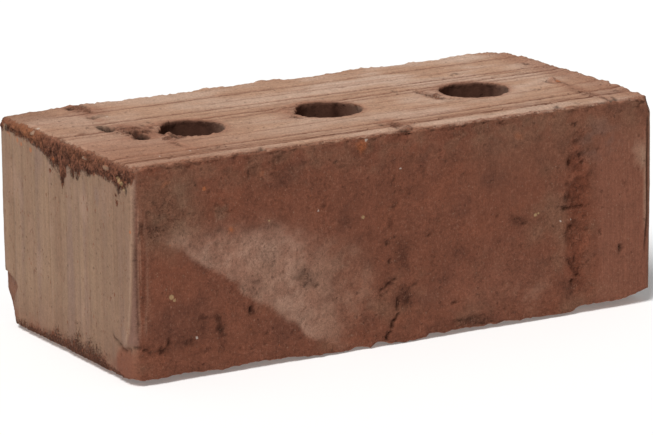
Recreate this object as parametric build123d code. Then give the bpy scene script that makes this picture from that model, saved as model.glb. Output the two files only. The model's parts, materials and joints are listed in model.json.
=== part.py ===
from build123d import *
import os

# A one-and-a-half height clay brick: a column of clay pressed through a die, cut across by wires,
# with three round cores. It is one piece of fired clay.
# Millimetres. The origin is at the middle of the lower bed, +X runs along the brick and +Z is up.
# The headers are the faces at -X and +X, and the front stretcher is the face at -Y.

# Sizes of the brick
length = 250.0
width = 120.0
height = 88.0

# Arrises: the upright ones are rounded by the die, the others are softened by the wire and by
# handling, and the upper one of the left header is worn the most
upright_arris_radius = 3.5
bed_arris_radius = 1.2
worn_arris_radius = 3.0

# Cores, in one row that stands a little off the middle of the beds
core_diameter = 32.0
core_pitch = 69.5
core_row_shift_along = -1.0
core_row_shift_across = -5.0
middle_core_drift = -3.5

# Scores down the stretchers beside each upright arris, where the corner of the die dragged
corner_score_width = 1.4
corner_score_depth = 0.6
corner_score_inset = 2.8

# Furrows that the cutting wire drew along both beds
furrow_width = 5.0
furrow_depth = 0.5
front_furrow_inset = 12.0
front_furrow_pitch = 9.0
core_furrow_offset = 13.5
core_furrow_pitch = 12.0
rear_furrow_inset = 17.5

# Broken corners: how far each break reaches along the arrises in X, Y and Z, and how far it
# hollows below the flat through the three points where it leaves them
rear_foot_break_reach = (6.0, 12.0, 18.0)
rear_foot_break_hollow = 1.0
front_top_break_reach = (8.0, 8.0, 8.5)
front_top_break_hollow = 0.8
front_foot_break_reach = (16.0, 10.0, 5.5)
front_foot_break_hollow = 0.8
rear_top_break_reach = (8.5, 8.5, 12.0)
rear_top_break_hollow = 0.4

# Spalls off the rear arris of the upper bed: the distance from the left header, how far each
# one runs to both sides of it, and how deep it is across the arris
rear_spalls = ((7.0, 12.0, 1.8), (145.0, 10.0, 2.4), (196.0, 8.0, 2.6))


def arc_radius(opening, depth):
    """Radius of the arc that spans the opening and dips by the depth."""
    return (opening**2 / 4 + depth**2) / (2 * depth)


def clay_column():
    """The brick's outline from above, from the front and from the end, all three at once."""
    from_above = RectangleRounded(length, width, upright_arris_radius)

    from_front = Pos(0, height / 2) * Rectangle(length, height)
    worn_corner = from_front.vertices().sort_by(Axis.X)[:2].sort_by(Axis.Y)[-1]
    sound_corners = from_front.vertices().filter_by(lambda corner: corner != worn_corner)
    from_front = fillet(sound_corners, bed_arris_radius)
    worn_corner = from_front.vertices().sort_by_distance((-length / 2, height))[0]
    from_front = fillet(worn_corner, worn_arris_radius)

    from_end = Pos(0, height / 2) * RectangleRounded(width, height, bed_arris_radius)

    column = extrude(from_above, height)
    column &= extrude(Plane.XZ * from_front, width / 2, both=True)
    column &= extrude(Plane.YZ * from_end, length / 2, both=True)
    return column


def core_centres():
    """Middles of the three cores, from the left header to the right one."""
    middle = core_row_shift_along
    places_along = (middle - core_pitch, middle + middle_core_drift, middle + core_pitch)
    return [(along, core_row_shift_across) for along in places_along]


def cores():
    """The bores through both beds."""
    bore = Pos(0, 0, height / 2) * Cylinder(core_diameter / 2, 2 * height)
    return [Pos(along, across) * bore for along, across in core_centres()]


def corner_scores():
    """A round-bottomed score down each stretcher, near each header."""
    radius = arc_radius(corner_score_width, corner_score_depth)
    along = length / 2 - corner_score_inset
    across = width / 2 + radius - corner_score_depth
    score = Pos(0, 0, height / 2) * Cylinder(radius, 2 * height)
    return [Pos(side * along, face * across) * score for side in (-1, 1) for face in (-1, 1)]


def furrow_lines():
    """Places of the furrows across the bed, from the front stretcher to the rear one."""
    first = -width / 2 + front_furrow_inset
    behind_cores = core_row_shift_across + core_furrow_offset
    last = width / 2 - rear_furrow_inset
    return [first, first + front_furrow_pitch, behind_cores, behind_cores + core_furrow_pitch, last]


def furrows():
    """Shallow round-bottomed furrows along the upper bed and, at the same places, the lower."""
    radius = arc_radius(furrow_width, furrow_depth)
    stand_off = radius - furrow_depth
    furrow = Rot(0, 90, 0) * Cylinder(radius, 2 * length)
    heights = (height + stand_off, -stand_off)
    return [Pos(0, across, up) * furrow for across in furrow_lines() for up in heights]


def broken_corner(corner, reach, hollow):
    """
    The ball that a break leaves its hollow face from. Its surface cuts the three arrises at
    their reach from the corner, and dips below the flat through those points by the hollow.
    """
    corner = Vector(*corner)
    inward = Vector(0, 0, height / 2) - corner
    along = corner + Vector(reach[0] if inward.X > 0 else -reach[0], 0, 0)
    across = corner + Vector(0, reach[1] if inward.Y > 0 else -reach[1], 0)
    up = corner + Vector(0, 0, reach[2] if inward.Z > 0 else -reach[2])

    side = along - up
    other_side = across - up
    normal = side.cross(other_side)
    lean = other_side * side.length**2 - side * other_side.length**2
    middle = up + lean.cross(normal) * (1 / (2 * normal.length**2))

    outward = normal.normalized()
    if outward.dot(inward) > 0:
        outward = -outward
    ring_radius = (up - middle).length
    radius = arc_radius(2 * ring_radius, hollow)
    centre = middle + outward * (radius - hollow)
    return Pos(centre) * Sphere(radius)


def broken_corners():
    """The four corners that are knocked off."""
    rear_foot = (-length / 2, width / 2, 0)
    front_top = (length / 2, -width / 2, height)
    front_foot = (length / 2, -width / 2, 0)
    rear_top = (length / 2, width / 2, height)
    return [
        broken_corner(rear_foot, rear_foot_break_reach, rear_foot_break_hollow),
        broken_corner(front_top, front_top_break_reach, front_top_break_hollow),
        broken_corner(front_foot, front_foot_break_reach, front_foot_break_hollow),
        broken_corner(rear_top, rear_top_break_reach, rear_top_break_hollow),
    ]


def spalls():
    """Balls that bite shallow shells out of the rear arris of the upper bed."""
    away = Vector(0, 1, 1).normalized()
    bites = []
    for distance, half_run, depth in rear_spalls:
        radius = arc_radius(2 * half_run, depth)
        on_arris = Vector(-length / 2 + distance, width / 2, height)
        bites.append(Pos(on_arris + away * (radius - depth)) * Sphere(radius))
    return bites


def brick():
    """The fired brick: the column less its cores, its scores and furrows, and its breaks."""
    fired = clay_column() - cores()
    fired -= corner_scores()
    fired -= furrows()
    fired -= broken_corners()
    fired -= spalls()
    return fired.solid()


os.makedirs("parts", exist_ok=True)
export_step(brick(), "parts/brick.step")
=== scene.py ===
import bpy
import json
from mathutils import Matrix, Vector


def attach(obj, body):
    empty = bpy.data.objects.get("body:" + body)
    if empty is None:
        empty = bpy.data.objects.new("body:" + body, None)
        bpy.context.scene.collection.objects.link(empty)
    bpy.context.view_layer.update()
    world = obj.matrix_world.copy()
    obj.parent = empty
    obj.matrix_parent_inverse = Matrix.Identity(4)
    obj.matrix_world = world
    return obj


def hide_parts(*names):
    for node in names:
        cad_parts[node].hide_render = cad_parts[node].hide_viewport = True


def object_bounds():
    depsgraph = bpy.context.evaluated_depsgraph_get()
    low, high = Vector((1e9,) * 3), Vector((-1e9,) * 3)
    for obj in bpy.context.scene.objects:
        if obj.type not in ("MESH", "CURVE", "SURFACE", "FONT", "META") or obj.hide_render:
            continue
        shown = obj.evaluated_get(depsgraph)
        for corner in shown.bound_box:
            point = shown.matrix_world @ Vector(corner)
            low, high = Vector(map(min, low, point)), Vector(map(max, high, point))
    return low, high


bl_info = {
    "name": "Cored clay brick",
    "version": (1, 0, 0),
    "blender": (4, 5, 0),
    "location": "3D View > Sidebar > Brick",
    "description": "A worn wire-cut clay brick with three cores, and the studio that it is shown in",
    "category": "Add Mesh",
}

import json

import bpy
import numpy as np
from bpy.props import FloatProperty, FloatVectorProperty, PointerProperty
from mathutils import Matrix, Vector

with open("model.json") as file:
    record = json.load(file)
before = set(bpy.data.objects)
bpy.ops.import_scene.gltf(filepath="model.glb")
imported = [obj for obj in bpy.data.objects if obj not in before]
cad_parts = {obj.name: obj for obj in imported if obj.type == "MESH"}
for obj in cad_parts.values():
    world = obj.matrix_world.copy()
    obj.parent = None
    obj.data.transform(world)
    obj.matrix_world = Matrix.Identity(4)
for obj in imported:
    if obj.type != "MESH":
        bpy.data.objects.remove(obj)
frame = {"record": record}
CAD_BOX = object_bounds()

MM = 0.001
PIECE_NAME = "fired_brick"
BODY = "root"
NODE = "brick"

# How a hash mixes the bits of three whole numbers and a seed
LOW_BITS = 0xFFFFFFFF
HASH_FACTORS = (73856093, 19349663, 83492791)
SEED_FACTOR = 2654435761
HASH_STEPS = ((16, 0x45D9F3B), (15, 0x2C1B3C6D), (16, 1))

# Radii and gaps smaller than this count as nothing, in millimetres
SMALLEST = 1e-6

# The camera's sensor, in millimetres, and how near and how far it sees, in metres
SENSOR_WIDTH = 36.0
CLIPPED_AT = (0.01, 50.0)

# What a face's relief says of its points beside their height, each as a share from 0 to about 1, and what
# the others say where nothing is torn and no wire has passed. The hollow measure is painted shade, which
# darkens the colour in furrows, pits, cracks, scores, nicks and crevices between crumbs
SHARED_MEASURES = ("hollow", "wire_cut", "crumbly", "dusted", "dragged", "rusty")
UNTORN = -9.0
FAR_FROM_WIRE = 3.0

# A point whose share of a face is smaller than this takes nothing from that face
LEAST_SHARE = 0.004

# Nicks: where their painted shade starts to fall and where it ends, in sizes of the oval, at the points and
# in the material, how deep they are in millimetres and how strong their painted shade is
NICK_FALL = (0.7, 1.15)
FINE_NICK_FALL = (0.55, 1.2)
NICK_DEPTH = 0.3
NICK_SHADE = 1.1

# The brick's half sizes and its height, in millimetres, and its cores: middles on the bed and radius
HALF_LENGTH = (CAD_BOX[1].x - CAD_BOX[0].x) / 2 / MM
HALF_WIDTH = (CAD_BOX[1].y - CAD_BOX[0].y) / 2 / MM
HEIGHT = (CAD_BOX[1].z - CAD_BOX[0].z) / MM
BORES = [mount for mount in frame["record"]["mounts"] if mount["kind"] == "bore"]
CORES = [(bore["pos_m"][0] / MM, bore["pos_m"][1] / MM) for bore in BORES]
CORE_RADIUS = BORES[0]["dims"]["r_mm"]


# Numbers that look random and are the same each run

def hashed(cell, seed):
    """A number from 0 to 1 for each lattice point, from its three whole coordinates and the seed."""
    low_bits = np.uint64(LOW_BITS)
    x, y, z = np.moveaxis(cell.astype(np.uint64) & low_bits, -1, 0)
    along, across, up = (np.uint64(factor) for factor in HASH_FACTORS)
    mixed = (x * along ^ y * across ^ z * up) + np.uint64(seed * SEED_FACTOR % 2**32)
    mixed &= low_bits
    for shift, factor in HASH_STEPS:
        mixed = (mixed ^ (mixed >> np.uint64(shift))) * np.uint64(factor) & low_bits
    return mixed / 2**32


def noise(points, size, seed):
    """Gradient noise, about -1 to 1: random slopes at the corners of cells, blended across each cell."""
    scaled = points / np.asarray(size, float)
    cell = np.floor(scaled).astype(np.int64)
    inside = scaled - cell
    fade = inside**3 * (inside * (inside * 6 - 15) + 10)
    total = np.zeros(len(points))
    for corner in np.ndindex(2, 2, 2):
        slope = np.stack([hashed(cell + corner, 3 * seed + axis) for axis in range(3)], -1) * 2 - 1
        share = np.prod(np.where(corner, fade, 1 - fade), axis=-1)
        total += share * np.sum(slope * (inside - corner), axis=-1)
    return 1.6 * total


def rough(points, size, seed, octaves=4):
    """Noise upon noise: each layer is half the size and a little over half the strength of the last."""
    size = np.asarray(size, float)
    layers = [0.55**step * noise(points, size / 2**step, seed + 17 * step) for step in range(octaves)]
    return sum(layers)


def crumbs(points, size, seed):
    """Rounded crumbs, one at a random place in each cell: 1 at the middle, falling to 0 a cell away."""
    scaled = points / np.asarray(size, float)
    cell = np.floor(scaled).astype(np.int64)
    nearest = np.full(len(points), 9.0)
    for step in np.ndindex(3, 3, 3):
        other = cell + np.array(step) - 1
        middle = other + np.stack([hashed(other, 5 * seed + axis) for axis in range(3)], -1)
        nearest = np.minimum(nearest, np.sum((scaled - middle) ** 2, axis=-1))
    return np.clip(1 - np.sqrt(nearest), 0, 1)


def rise(value, low, high):
    """0 below low, 1 above high, and an S-shaped rise between them."""
    share = np.clip((value - low) / (high - low), 0, 1)
    return share * share * (3 - 2 * share)


def bell(value, middle, spread):
    """1 at the middle, falling away on both sides as a bell curve does."""
    return np.exp(-(((value - middle) / spread) ** 2))


def polyline_distance(across, up, corners):
    """Distance in the plane from each point to the nearest stretch of a line through the corners."""
    corners = np.asarray(corners, float)
    nearest = np.full(len(across), 1e9)
    for (u0, v0), (u1, v1) in zip(corners[:-1], corners[1:]):
        run = np.array((u1 - u0, v1 - v0))
        share = np.clip(((across - u0) * run[0] + (up - v0) * run[1]) / (run @ run), 0, 1)
        gap = np.hypot(across - u0 - share * run[0], up - v0 - share * run[1])
        nearest = np.minimum(nearest, gap)
    return nearest


def marks_over(across, up, marks):
    """How strong the nicks are at each point of a face: each is an oval with its share and a soft rim."""
    found = np.zeros(len(across))
    for middle, middle_up, half, half_up, share in marks:
        reach = np.hypot((across - middle) / half, (up - middle_up) / half_up)
        found = np.maximum(found, share * (1 - rise(reach, *NICK_FALL)))
    return found


# The net of the brick's surface: fine where the photo shows it, coarser on the hidden faces

# Pairs of gaps that stay fine beside the seen faces, rings round each core and how they crowd towards its
# rim, and the net of its wall: gap, gap at its ends and how far those ends reach, in millimetres
FINE_PAIRS = 6
CORE_RINGS = 9
RING_CROWDING = 1.6
WALL_GAPS = (9.0, 0.8, 5.0)


def graded_lines(low, high, gap, end_gap, end_zone):
    """Grid lines from low to high, closer at both ends: at even steps of their summed density."""
    places = np.linspace(low, high, 4001)
    from_end = np.minimum(places - low, high - places)
    density = 1 / gap + (1 / end_gap - 1 / gap) * np.exp(-((from_end / end_zone) ** 2))
    steps = (density[1:] + density[:-1]) / 2 * np.diff(places)
    passed = np.concatenate(([0], np.cumsum(steps)))
    gaps = 2 * int(np.ceil(passed[-1] / 2))
    return np.interp(np.linspace(0, passed[-1], gaps + 1), passed, places)


class Shell:
    """Patches of a closed surface, which are welded wherever their points meet."""

    def __init__(self):
        self.points = []
        self.polygons = []
        self.count = 0

    def add(self, points, polygons):
        self.points.append(points)
        self.polygons += [part + self.count for part in polygons]
        self.count += len(points)

    def weld(self):
        """Points at one place become one point, and points that no polygon uses go."""
        places = np.round(np.concatenate(self.points), 5) + 0.0
        single, which = np.unique(places, axis=0, return_inverse=True)
        which = which.ravel()
        polygons = [which[part] for part in self.polygons]
        used = np.unique(np.concatenate([part.ravel() for part in polygons]))
        number = np.zeros(len(single), np.int64)
        number[used] = np.arange(len(used))
        return single[used], [number[part] for part in polygons]


def net_polygons(gaps_v, fine, left_out):
    """
    Polygons of a grid whose gaps are taken in pairs. A fine pair gives four quads. A coarse pair gives one
    polygon, which also takes the middle point of each side that it shares with a fine pair.
    """
    def point(u, v):
        return u * (gaps_v + 1) + v

    polygons = []
    pair_u, pair_v = np.nonzero(fine & ~left_out)
    for step_u, step_v in np.ndindex(2, 2):
        u, v = 2 * pair_u + step_u, 2 * pair_v + step_v
        polygons.append(np.stack([point(u, v), point(u + 1, v), point(u + 1, v + 1), point(u, v + 1)], -1))

    split = np.pad(fine | left_out, 1)
    shared = np.stack([split[1:-1, :-2], split[2:, 1:-1], split[1:-1, 2:], split[:-2, 1:-1]], -1)
    for sides in np.ndindex(2, 2, 2, 2):
        same = np.all(shared == np.array(sides, bool), axis=-1)
        u, v = (2 * pair for pair in np.nonzero(~fine & ~left_out & same))
        ring = [point(u, v), point(u + 1, v), point(u + 2, v), point(u + 2, v + 1)]
        ring += [point(u + 2, v + 2), point(u + 1, v + 2), point(u, v + 2), point(u, v + 1)]
        kept = [corner for place, corner in enumerate(ring) if place % 2 == 0 or sides[place // 2]]
        polygons.append(np.stack(kept, -1))
    return polygons


def net_face(shell, axes, lines, level, fine_margin, blocks=()):
    """
    One face of the box: a grid over two axes at a level of the third. The axes are in the order that makes
    the face look outwards. A fine_margin of None makes the whole face fine. Otherwise it says how many pairs
    of gaps stay fine along the low side of each axis or, where negative, along the high side.
    """
    lines_u, lines_v = lines[axes[0]], lines[axes[1]]
    gaps_u, gaps_v = len(lines_u) - 1, len(lines_v) - 1
    fine = np.full((gaps_u // 2, gaps_v // 2), fine_margin is None)
    if fine_margin is not None:
        for axis, margin in enumerate(fine_margin):
            side = slice(None, margin) if margin > 0 else slice(margin, None)
            fine[(side, slice(None)) if axis == 0 else (slice(None), side)] = True
    left_out = np.zeros_like(fine)
    for low_x, high_x, low_y, high_y in blocks:
        span = {0: slice(low_x // 2, high_x // 2), 1: slice(low_y // 2, high_y // 2)}
        left_out[span[axes[0]], span[axes[1]]] = True

    points = np.zeros((gaps_u + 1, gaps_v + 1, 3))
    points[..., axes[0]] = lines_u[:, None]
    points[..., axes[1]] = lines_v[None, :]
    points[..., 3 - axes[0] - axes[1]] = level
    shell.add(points.reshape(-1, 3), net_polygons(gaps_v, fine, left_out))


def core_blocks(lines, reach):
    """The stretch of grid lines round each core that its rings take the place of, on even lines."""
    blocks = []
    for middle_x, middle_y in CORES:
        ends = []
        for axis_lines, middle in ((lines[0], middle_x), (lines[1], middle_y)):
            for place in (middle - reach, middle + reach):
                ends.append(2 * int(round(np.argmin(np.abs(axis_lines[::2] - place)))))
        blocks.append(tuple(ends))
    return blocks


def net_core(shell, lines, block, middle, wall_lines):
    """
    One core: rings from the block's square edge in to the round rim on both beds, and the wall between the
    rims. A ring's points are on straight lines from the square's points to the rim's points, closer together
    towards the rim.
    """
    low_x, high_x, low_y, high_y = block
    along, across = lines[0], lines[1]
    square = np.concatenate([
        np.stack([along[low_x:high_x], np.full(high_x - low_x, across[low_y])], -1),
        np.stack([np.full(high_y - low_y, along[high_x]), across[low_y:high_y]], -1),
        np.stack([along[high_x:low_x:-1], np.full(high_x - low_x, across[high_y])], -1),
        np.stack([np.full(high_y - low_y, along[low_x]), across[high_y:low_y:-1]], -1),
    ])
    turn = np.arctan2(square[:, 1] - middle[1], square[:, 0] - middle[0])
    rim = np.stack([middle[0] + CORE_RADIUS * np.cos(turn), middle[1] + CORE_RADIUS * np.sin(turn)], -1)
    inwards = 1 - np.linspace(1, 0, CORE_RINGS + 1) ** RING_CROWDING
    flat = square[:, None] + (rim - square)[:, None] * inwards[None, :, None]

    count = len(square)
    here = np.arange(count)
    after = (here + 1) % count

    def strip(columns):
        step = np.arange(columns - 1)
        quads = [here[:, None] * columns + step, after[:, None] * columns + step]
        quads += [after[:, None] * columns + step + 1, here[:, None] * columns + step + 1]
        return np.stack(quads, -1).reshape(-1, 4)

    for level, order in ((HEIGHT, slice(None)), (0.0, slice(None, None, -1))):
        points = np.concatenate([flat, np.full((count, CORE_RINGS + 1, 1), level)], -1)
        shell.add(points.reshape(-1, 3), [strip(CORE_RINGS + 1)[:, order]])
    wall = np.zeros((count, len(wall_lines), 3))
    wall[..., :2] = rim[:, None]
    wall[..., 2] = wall_lines[::-1]
    shell.add(wall.reshape(-1, 3), [strip(len(wall_lines))])


def brick_net(shape):
    """The closed net of the sharp-edged brick with its cores, as points and polygons, in millimetres."""
    lines = [
        graded_lines(-HALF_LENGTH, HALF_LENGTH, shape.gap_along, shape.gap_at_arris, shape.arris_zone),
        graded_lines(-HALF_WIDTH, HALF_WIDTH, shape.gap_across, shape.gap_at_arris, shape.arris_zone),
        graded_lines(0, HEIGHT, shape.gap_up, shape.gap_at_arris, shape.arris_zone),
    ]
    blocks = core_blocks(lines, CORE_RADIUS + shape.core_margin)
    shell = Shell()
    net_face(shell, (0, 1), lines, HEIGHT, None, blocks)
    net_face(shell, (0, 2), lines, -HALF_WIDTH, None)
    net_face(shell, (2, 1), lines, -HALF_LENGTH, None)
    net_face(shell, (1, 0), lines, 0, (FINE_PAIRS, FINE_PAIRS), blocks)
    net_face(shell, (1, 2), lines, HALF_LENGTH, (FINE_PAIRS, -FINE_PAIRS))
    net_face(shell, (2, 0), lines, HALF_WIDTH, (-FINE_PAIRS, FINE_PAIRS))
    wall_lines = graded_lines(0, HEIGHT, *WALL_GAPS)
    for block, middle in zip(blocks, CORES):
        net_core(shell, lines, block, middle, wall_lines)
    return shell.weld()


# The brick's form: arrises, wear, breaks and the marks of the die and the wire

# Wear of the bed arrises: the radius along each one, in millimetres
UPPER_ARRIS_WEAR = {"left": 3.6, "right": 1.5, "front": 0.55, "rear": 1.3}
UNDER_ARRIS_WEAR = {"left": 1.0, "right": 1.6, "front": 1.0, "rear": 1.6}

# Furrows that the wire drew along the upper bed: where each one crosses the left header, the middle
# and the right header, in Y, then its width, its depth, and the stretch along X that it fades in over
FURROWS = (
    (-48.6, -48.2, -43.5, 2.2, 1.15, -140, -125), (-45.2, -45, -40.6, 1.3, 0.35, -140, -125),
    (-39.6, -39.2, -34, 2, 1, -140, -125), (-25.3, -25, -18.5, 1.4, 0.35, -140, -125),
    (2.4, 2.6, 7, 1.4, 0.5, -140, -125), (7.2, 7.8, 11.8, 2, 0.8, -140, -125),
    (14.5, 14.8, 16, 1.4, 0.4, -70, -50), (20.4, 20.6, 19.5, 2, 0.75, -108, -95),
    (30.5, 30.8, 31.5, 1.4, 0.3, -60, -30), (42, 42.4, 44.5, 2.6, 0.6, -118, -95),
)

# Ridges between the furrows, in the same terms
RIDGES = (
    (-43.5, -43.8, -39.5, 2.6, 0.35, -140, -125), (-53.2, -53, -50, 3.2, 0.45, -140, -125),
    (-57.5, -57.3, -56, 1.2, 0.4, -140, -125),
)

# Pits in the upper bed: middle, half sizes and depth
BED_PITS = (
    (-98.9, 11.6, 2.8, 6.8, 3.4), (-94.6, -11.5, 3.4, 4, 3), (-94.4, -4.6, 1.6, 4.6, 2.2),
    (-94.4, 33.5, 1.6, 3.4, 1.3), (-94.8, 53.5, 1.5, 4, 1.6), (-86.8, 56.5, 1.6, 3, 1.4),
    (-88.3, -26.5, 0.9, 2.6, 1.5), (-88, -31.5, 0.8, 2.6, 1.2), (-85.2, -41.2, 1, 1.8, 1),
    (-83, -17.5, 1.2, 3.2, 1.4), (-89.8, -6, 1, 2.2, 1.2), (-83, 4.5, 0.9, 2.4, 1.2),
    (-82.6, 9.5, 0.8, 2.4, 1), (-78.6, 12.6, 0.9, 2, 1), (-102.5, -50.2, 2.4, 2, 1.3),
    (-108.5, -31.6, 5, 0.9, 0.8), (-118.2, 34.8, 0.9, 1.3, 0.9), (-105.8, 29.6, 0.9, 1.4, 0.7),
    (-104.6, 16.8, 0.8, 2, 0.9), (-63.6, -56.2, 1.8, 2.2, 1.2), (-22.4, -12, 1.4, 3.4, 1.5),
    (-43.6, -10.6, 1, 1.4, 0.8), (24.5, 29.6, 3.2, 1.2, 0.5), (39.6, 10, 1, 1.8, 1.4),
    (77.6, 25.2, 1.1, 2, 0.9), (82.8, 25.8, 1, 2.2, 0.8), (117.6, 27.6, 0.9, 3, 0.9),
    (86.6, -19.6, 1, 1.6, 0.9), (92.8, -20.2, 2.2, 2, 0.8), (99.6, -12, 1.8, 1.2, 0.8),
    (104.6, -10, 1.2, 5, 1.2), (62.8, -46.2, 1.2, 1, 0.7), (73.4, -46.8, 1, 1.4, 0.9),
    (78.4, -46.4, 1.4, 1.2, 0.8), (79.6, -56, 3, 1.4, 1), (91.6, -34.9, 2.2, 0.8, 0.6),
    (107.4, -55.6, 3.6, 2.2, 1.4), (101, -57, 2.4, 1.6, 1), (3, -57.6, 2.4, 2.2, 1.6),
    (2.6, -50.6, 1.6, 1.8, 1), (6.2, -43, 1.2, 1.8, 0.6), (42, -27, 0.8, 0.9, 0.8),
)

# Lumps of dragged clay on the upper bed: middle, half sizes and height
BED_LUMPS = (
    (-91.5, 1, 7, 13, 0.8), (-112.5, 8.5, 3.2, 2.4, 1), (-92, 55, 5, 5, 0.45), (-83, -13.6, 3, 3, 1.3),
    (-71.6, -19.8, 1.3, 1.6, 1.5), (-66.4, -20.6, 1, 1.4, 0.9), (-76, -22.4, 2.2, 1.4, 0.6),
    (-21, 3, 3.2, 8, 0.7), (107.6, -9, 3.2, 6, 1.6), (107, -19, 2.6, 5, 0.7), (121.8, 31, 2.6, 3.6, 0.8),
    (51, -3, 2.4, 9, 0.5), (5.5, -54, 5.5, 4, 0.6),
)

# Patches of loose crumbs on the upper bed: middle, half sizes, share of the slope, and strength
LOOSE_PATCHES = (
    (-93, 0, 11, 17, 0.7, 1), (-84, -19, 9, 5, 0.6, 1), (-91.5, 50, 6, 12, 0.6, 0.8),
    (4.5, -51, 6, 12, 0.6, 0.7), (105, -40, 4, 22, 0.7, 0.7), (48, -8, 4.5, 13, 0.7, 0.8),
    (-79, -45, 10, 2.6, 0.7, 0.6), (-22, -12, 5, 7, 0.7, 0.5),
)

# Tears in the bed that the wire opened on the near side of a core: corners of the line, width and depth
BED_TEARS = (
    (((47.6, 5.6), (46, 1), (46.8, -4), (48.4, -10), (50.2, -15.5)), 1.3, 2.4),
    (((52.4, -14.6), (54, -18), (57.5, -18.6)), 0.9, 1.2),
)

# The torn fringe under the worn arris of the left header: how low it reaches at each place across
FRINGE_PLACES = (
    -60, -56, -54, -51, -48.5, -47, -43, -37, -30, -26, -23, -18, -14.5, -13, -10, -8, -6, -3.5, -1.5,
    0.5, 2.5, 4, 6, 9, 11, 14, 18, 23, 30, 40, 50, 60,
)
FRINGE_LIMITS = (
    82, 81, 79, 79, 76.5, 78.5, 80, 79.8, 80.5, 79.5, 78.2, 79.5, 78, 75.5, 78, 75.2, 78.5, 79, 76.5,
    71.5, 70.5, 76, 76.8, 76.2, 76.8, 78, 79.6, 81.2, 81.8, 82.6, 83, 82,
)

# How far below the fringe loose crumbs are sprinkled, at each place across
SPRINKLE_PLACES = (-60, -52, -48, -44, -36, -24, -18, -13, -8, -2, 3, 8, 14, 20, 28, 60)
SPRINKLE_DROPS = (3, 4, 9, 5, 2, 2, 5, 8, 9, 10, 11, 6, 4, 3, 1.5, 1.5)

# Crumbs clinging to the foot of the left header: how high they reach at each place across
CRUMB_PLACES = (
    -60, -42, -38, -34, -31, -27, -24, -20, -16, -12.5, -10, -7, -3, 2, 6, 9, 11, 14, 20, 30, 40, 48, 60,
)
CRUMB_LIMITS = (0, 4, 4, 7, 10, 13, 12, 15, 10, 12, 18, 12, 9, 8, 9, 12, 10, 8, 6, 4.5, 5, 4, 3)

# How far the foot of the front stretcher stands above the plane of the lower bed, along X
FOOT_PLACES = (
    -125, -122, -115, -108, -104, -90, -85, -79, -66, -60, -50, -45, -40, -30, -25, -22, -20, -17, -14.8,
    -13.8, -9, -6, 0, 11, 13, 18, 20, 25, 40, 42.5, 47, 50, 58, 62, 70, 84, 87, 92, 105, 112, 118, 122,
    125,
)
FOOT_HEIGHTS = (
    1.6, 0.4, 0, 0.8, 0.7, 0.1, -0.4, 0.2, 0.6, 0.1, -0.3, -0.9, -1, -1.2, -1.5, -0.7, -0.4, -1.3, -1.6,
    0.2, 0.2, -1, -1.5, -1.6, 0.3, 0, -0.5, 0, -0.6, 0, -0.7, 0.2, -0.8, -0.1, -0.9, -0.9, 0.7, 1.5, 1.1,
    1.5, 2.8, 3.6, 7,
)

# How far the rear arris of the upper bed has dropped, along X
REAR_DROP_PLACES = (
    -125, -118, -112, -106, -100, -94, -88, -76, -70, -58, -46, -40, -34, -28, -22, -16, -4, 1, 7, 13, 20,
    25, 31, 37, 43, 55, 61, 67, 73, 75, 79, 85, 90, 92, 97, 103, 115, 125,
)
REAR_DROPS = (
    1.6, 1.2, 0.5, 0.7, 0.2, -0.5, -0.3, 0.1, 0.4, 0.4, 0.5, 0.8, 0.6, -0.1, 0.1, 0.4, 0.5, -0.6, 0, 0.8,
    1.6, 1.3, 0.7, 0.4, -0.2, -0.1, 0.5, 0.9, 1.1, 0.1, 0.3, 0.8, 0.9, 0.3, 0.2, 0, 0.1, 1,
)

# Broken corners: side along X, Y and Z, how far the break reaches along each arris, and its hollow
BREAKS = (
    ((-1, 1, -1), (6, 12, 18), 1), ((1, -1, 1), (5, 6, 8.5), 0.7), ((1, -1, -1), (14, 9, 5), 0.8),
)

# The flake off the rear upright arris of the left header, above the broken foot: corners of its outline in Y
# and Z, its depth at its front rim and how much deeper it gets for each millimetre towards the rear
HEADER_FLAKE = (
    (62, 22.5), (57, 21.5), (52, 20.5), (45.5, 17.5), (49, 11), (50, 9.5), (49, -2), (62, -2),
)
FLAKE_DEPTH = 0.45
FLAKE_SLOPE = 0.13

# Shells spalled off the rear arris of the upper bed: place along X, half run and depth
REAR_SPALLS = ((-118, 12, 1.8), (19.5, 8.5, 1.9), (71, 6.5, 1.6))

# Lines down the left header: place across, width, depth, and the heights between which they run
HEADER_LINES = (
    (14.5, 0.5, 0.45, 4, 72), (4.2, 0.6, 0.25, 2, 70), (-12, 0.7, 0.3, 0, 76), (-21.5, 0.5, 0.2, 10, 80),
    (-43.2, 0.5, 0.3, 20, 76), (-45.6, 0.5, 0.35, 20, 74), (-50.5, 0.45, 0.25, 24, 72),
    (27, 0.7, 0.2, 0, 80), (38.5, 0.6, 0.2, 0, 80), (47.5, 0.6, 0.25, 6, 84),
)

# Patches of whole skin within the fringe of the left header: middle, half sizes and strength
SKIN_PATCHES = (
    (-19, 85, 3.4, 1.6, 1), (-38, 84.6, 3.4, 1.8, 1), (-48, 85, 3, 1.8, 1), (53.5, 84.5, 2, 2.4, 0.6),
    (29, 86, 2.2, 1.4, 0.8),
)

# Loose spots of torn clay below the fringe of the left header: middle, half sizes and strength
FRINGE_SPOTS = (
    (1, 71, 1.6, 3.6, 1), (-1.2, 75, 1.2, 2.6, 1), (-9, 76.5, 1, 2.4, 1), (-12, 75, 1, 2, 0.9),
    (9, 76.5, 1.6, 1.4, 1), (12.5, 73.5, 1.2, 1.4, 0.7), (-16.5, 76.5, 0.8, 1.2, 0.8),
    (-46.5, 71.5, 1.6, 1.8, 0.8), (-46, 75, 0.9, 1.4, 0.8), (-2, 66.5, 0.8, 1, 0.6),
    (-5, 64.5, 1.2, 0.8, 0.5),
)

# The lip beside the front upright arris of the left header: distance from the corner at each height
LIP_HEIGHTS = (0, 12, 16, 20, 25, 32, 40, 60, 80)
LIP_PLACES = (8.5, 7.6, 6.6, 5.2, 4.2, 3.2, 2.6, 1.4, 0.8)

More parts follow.
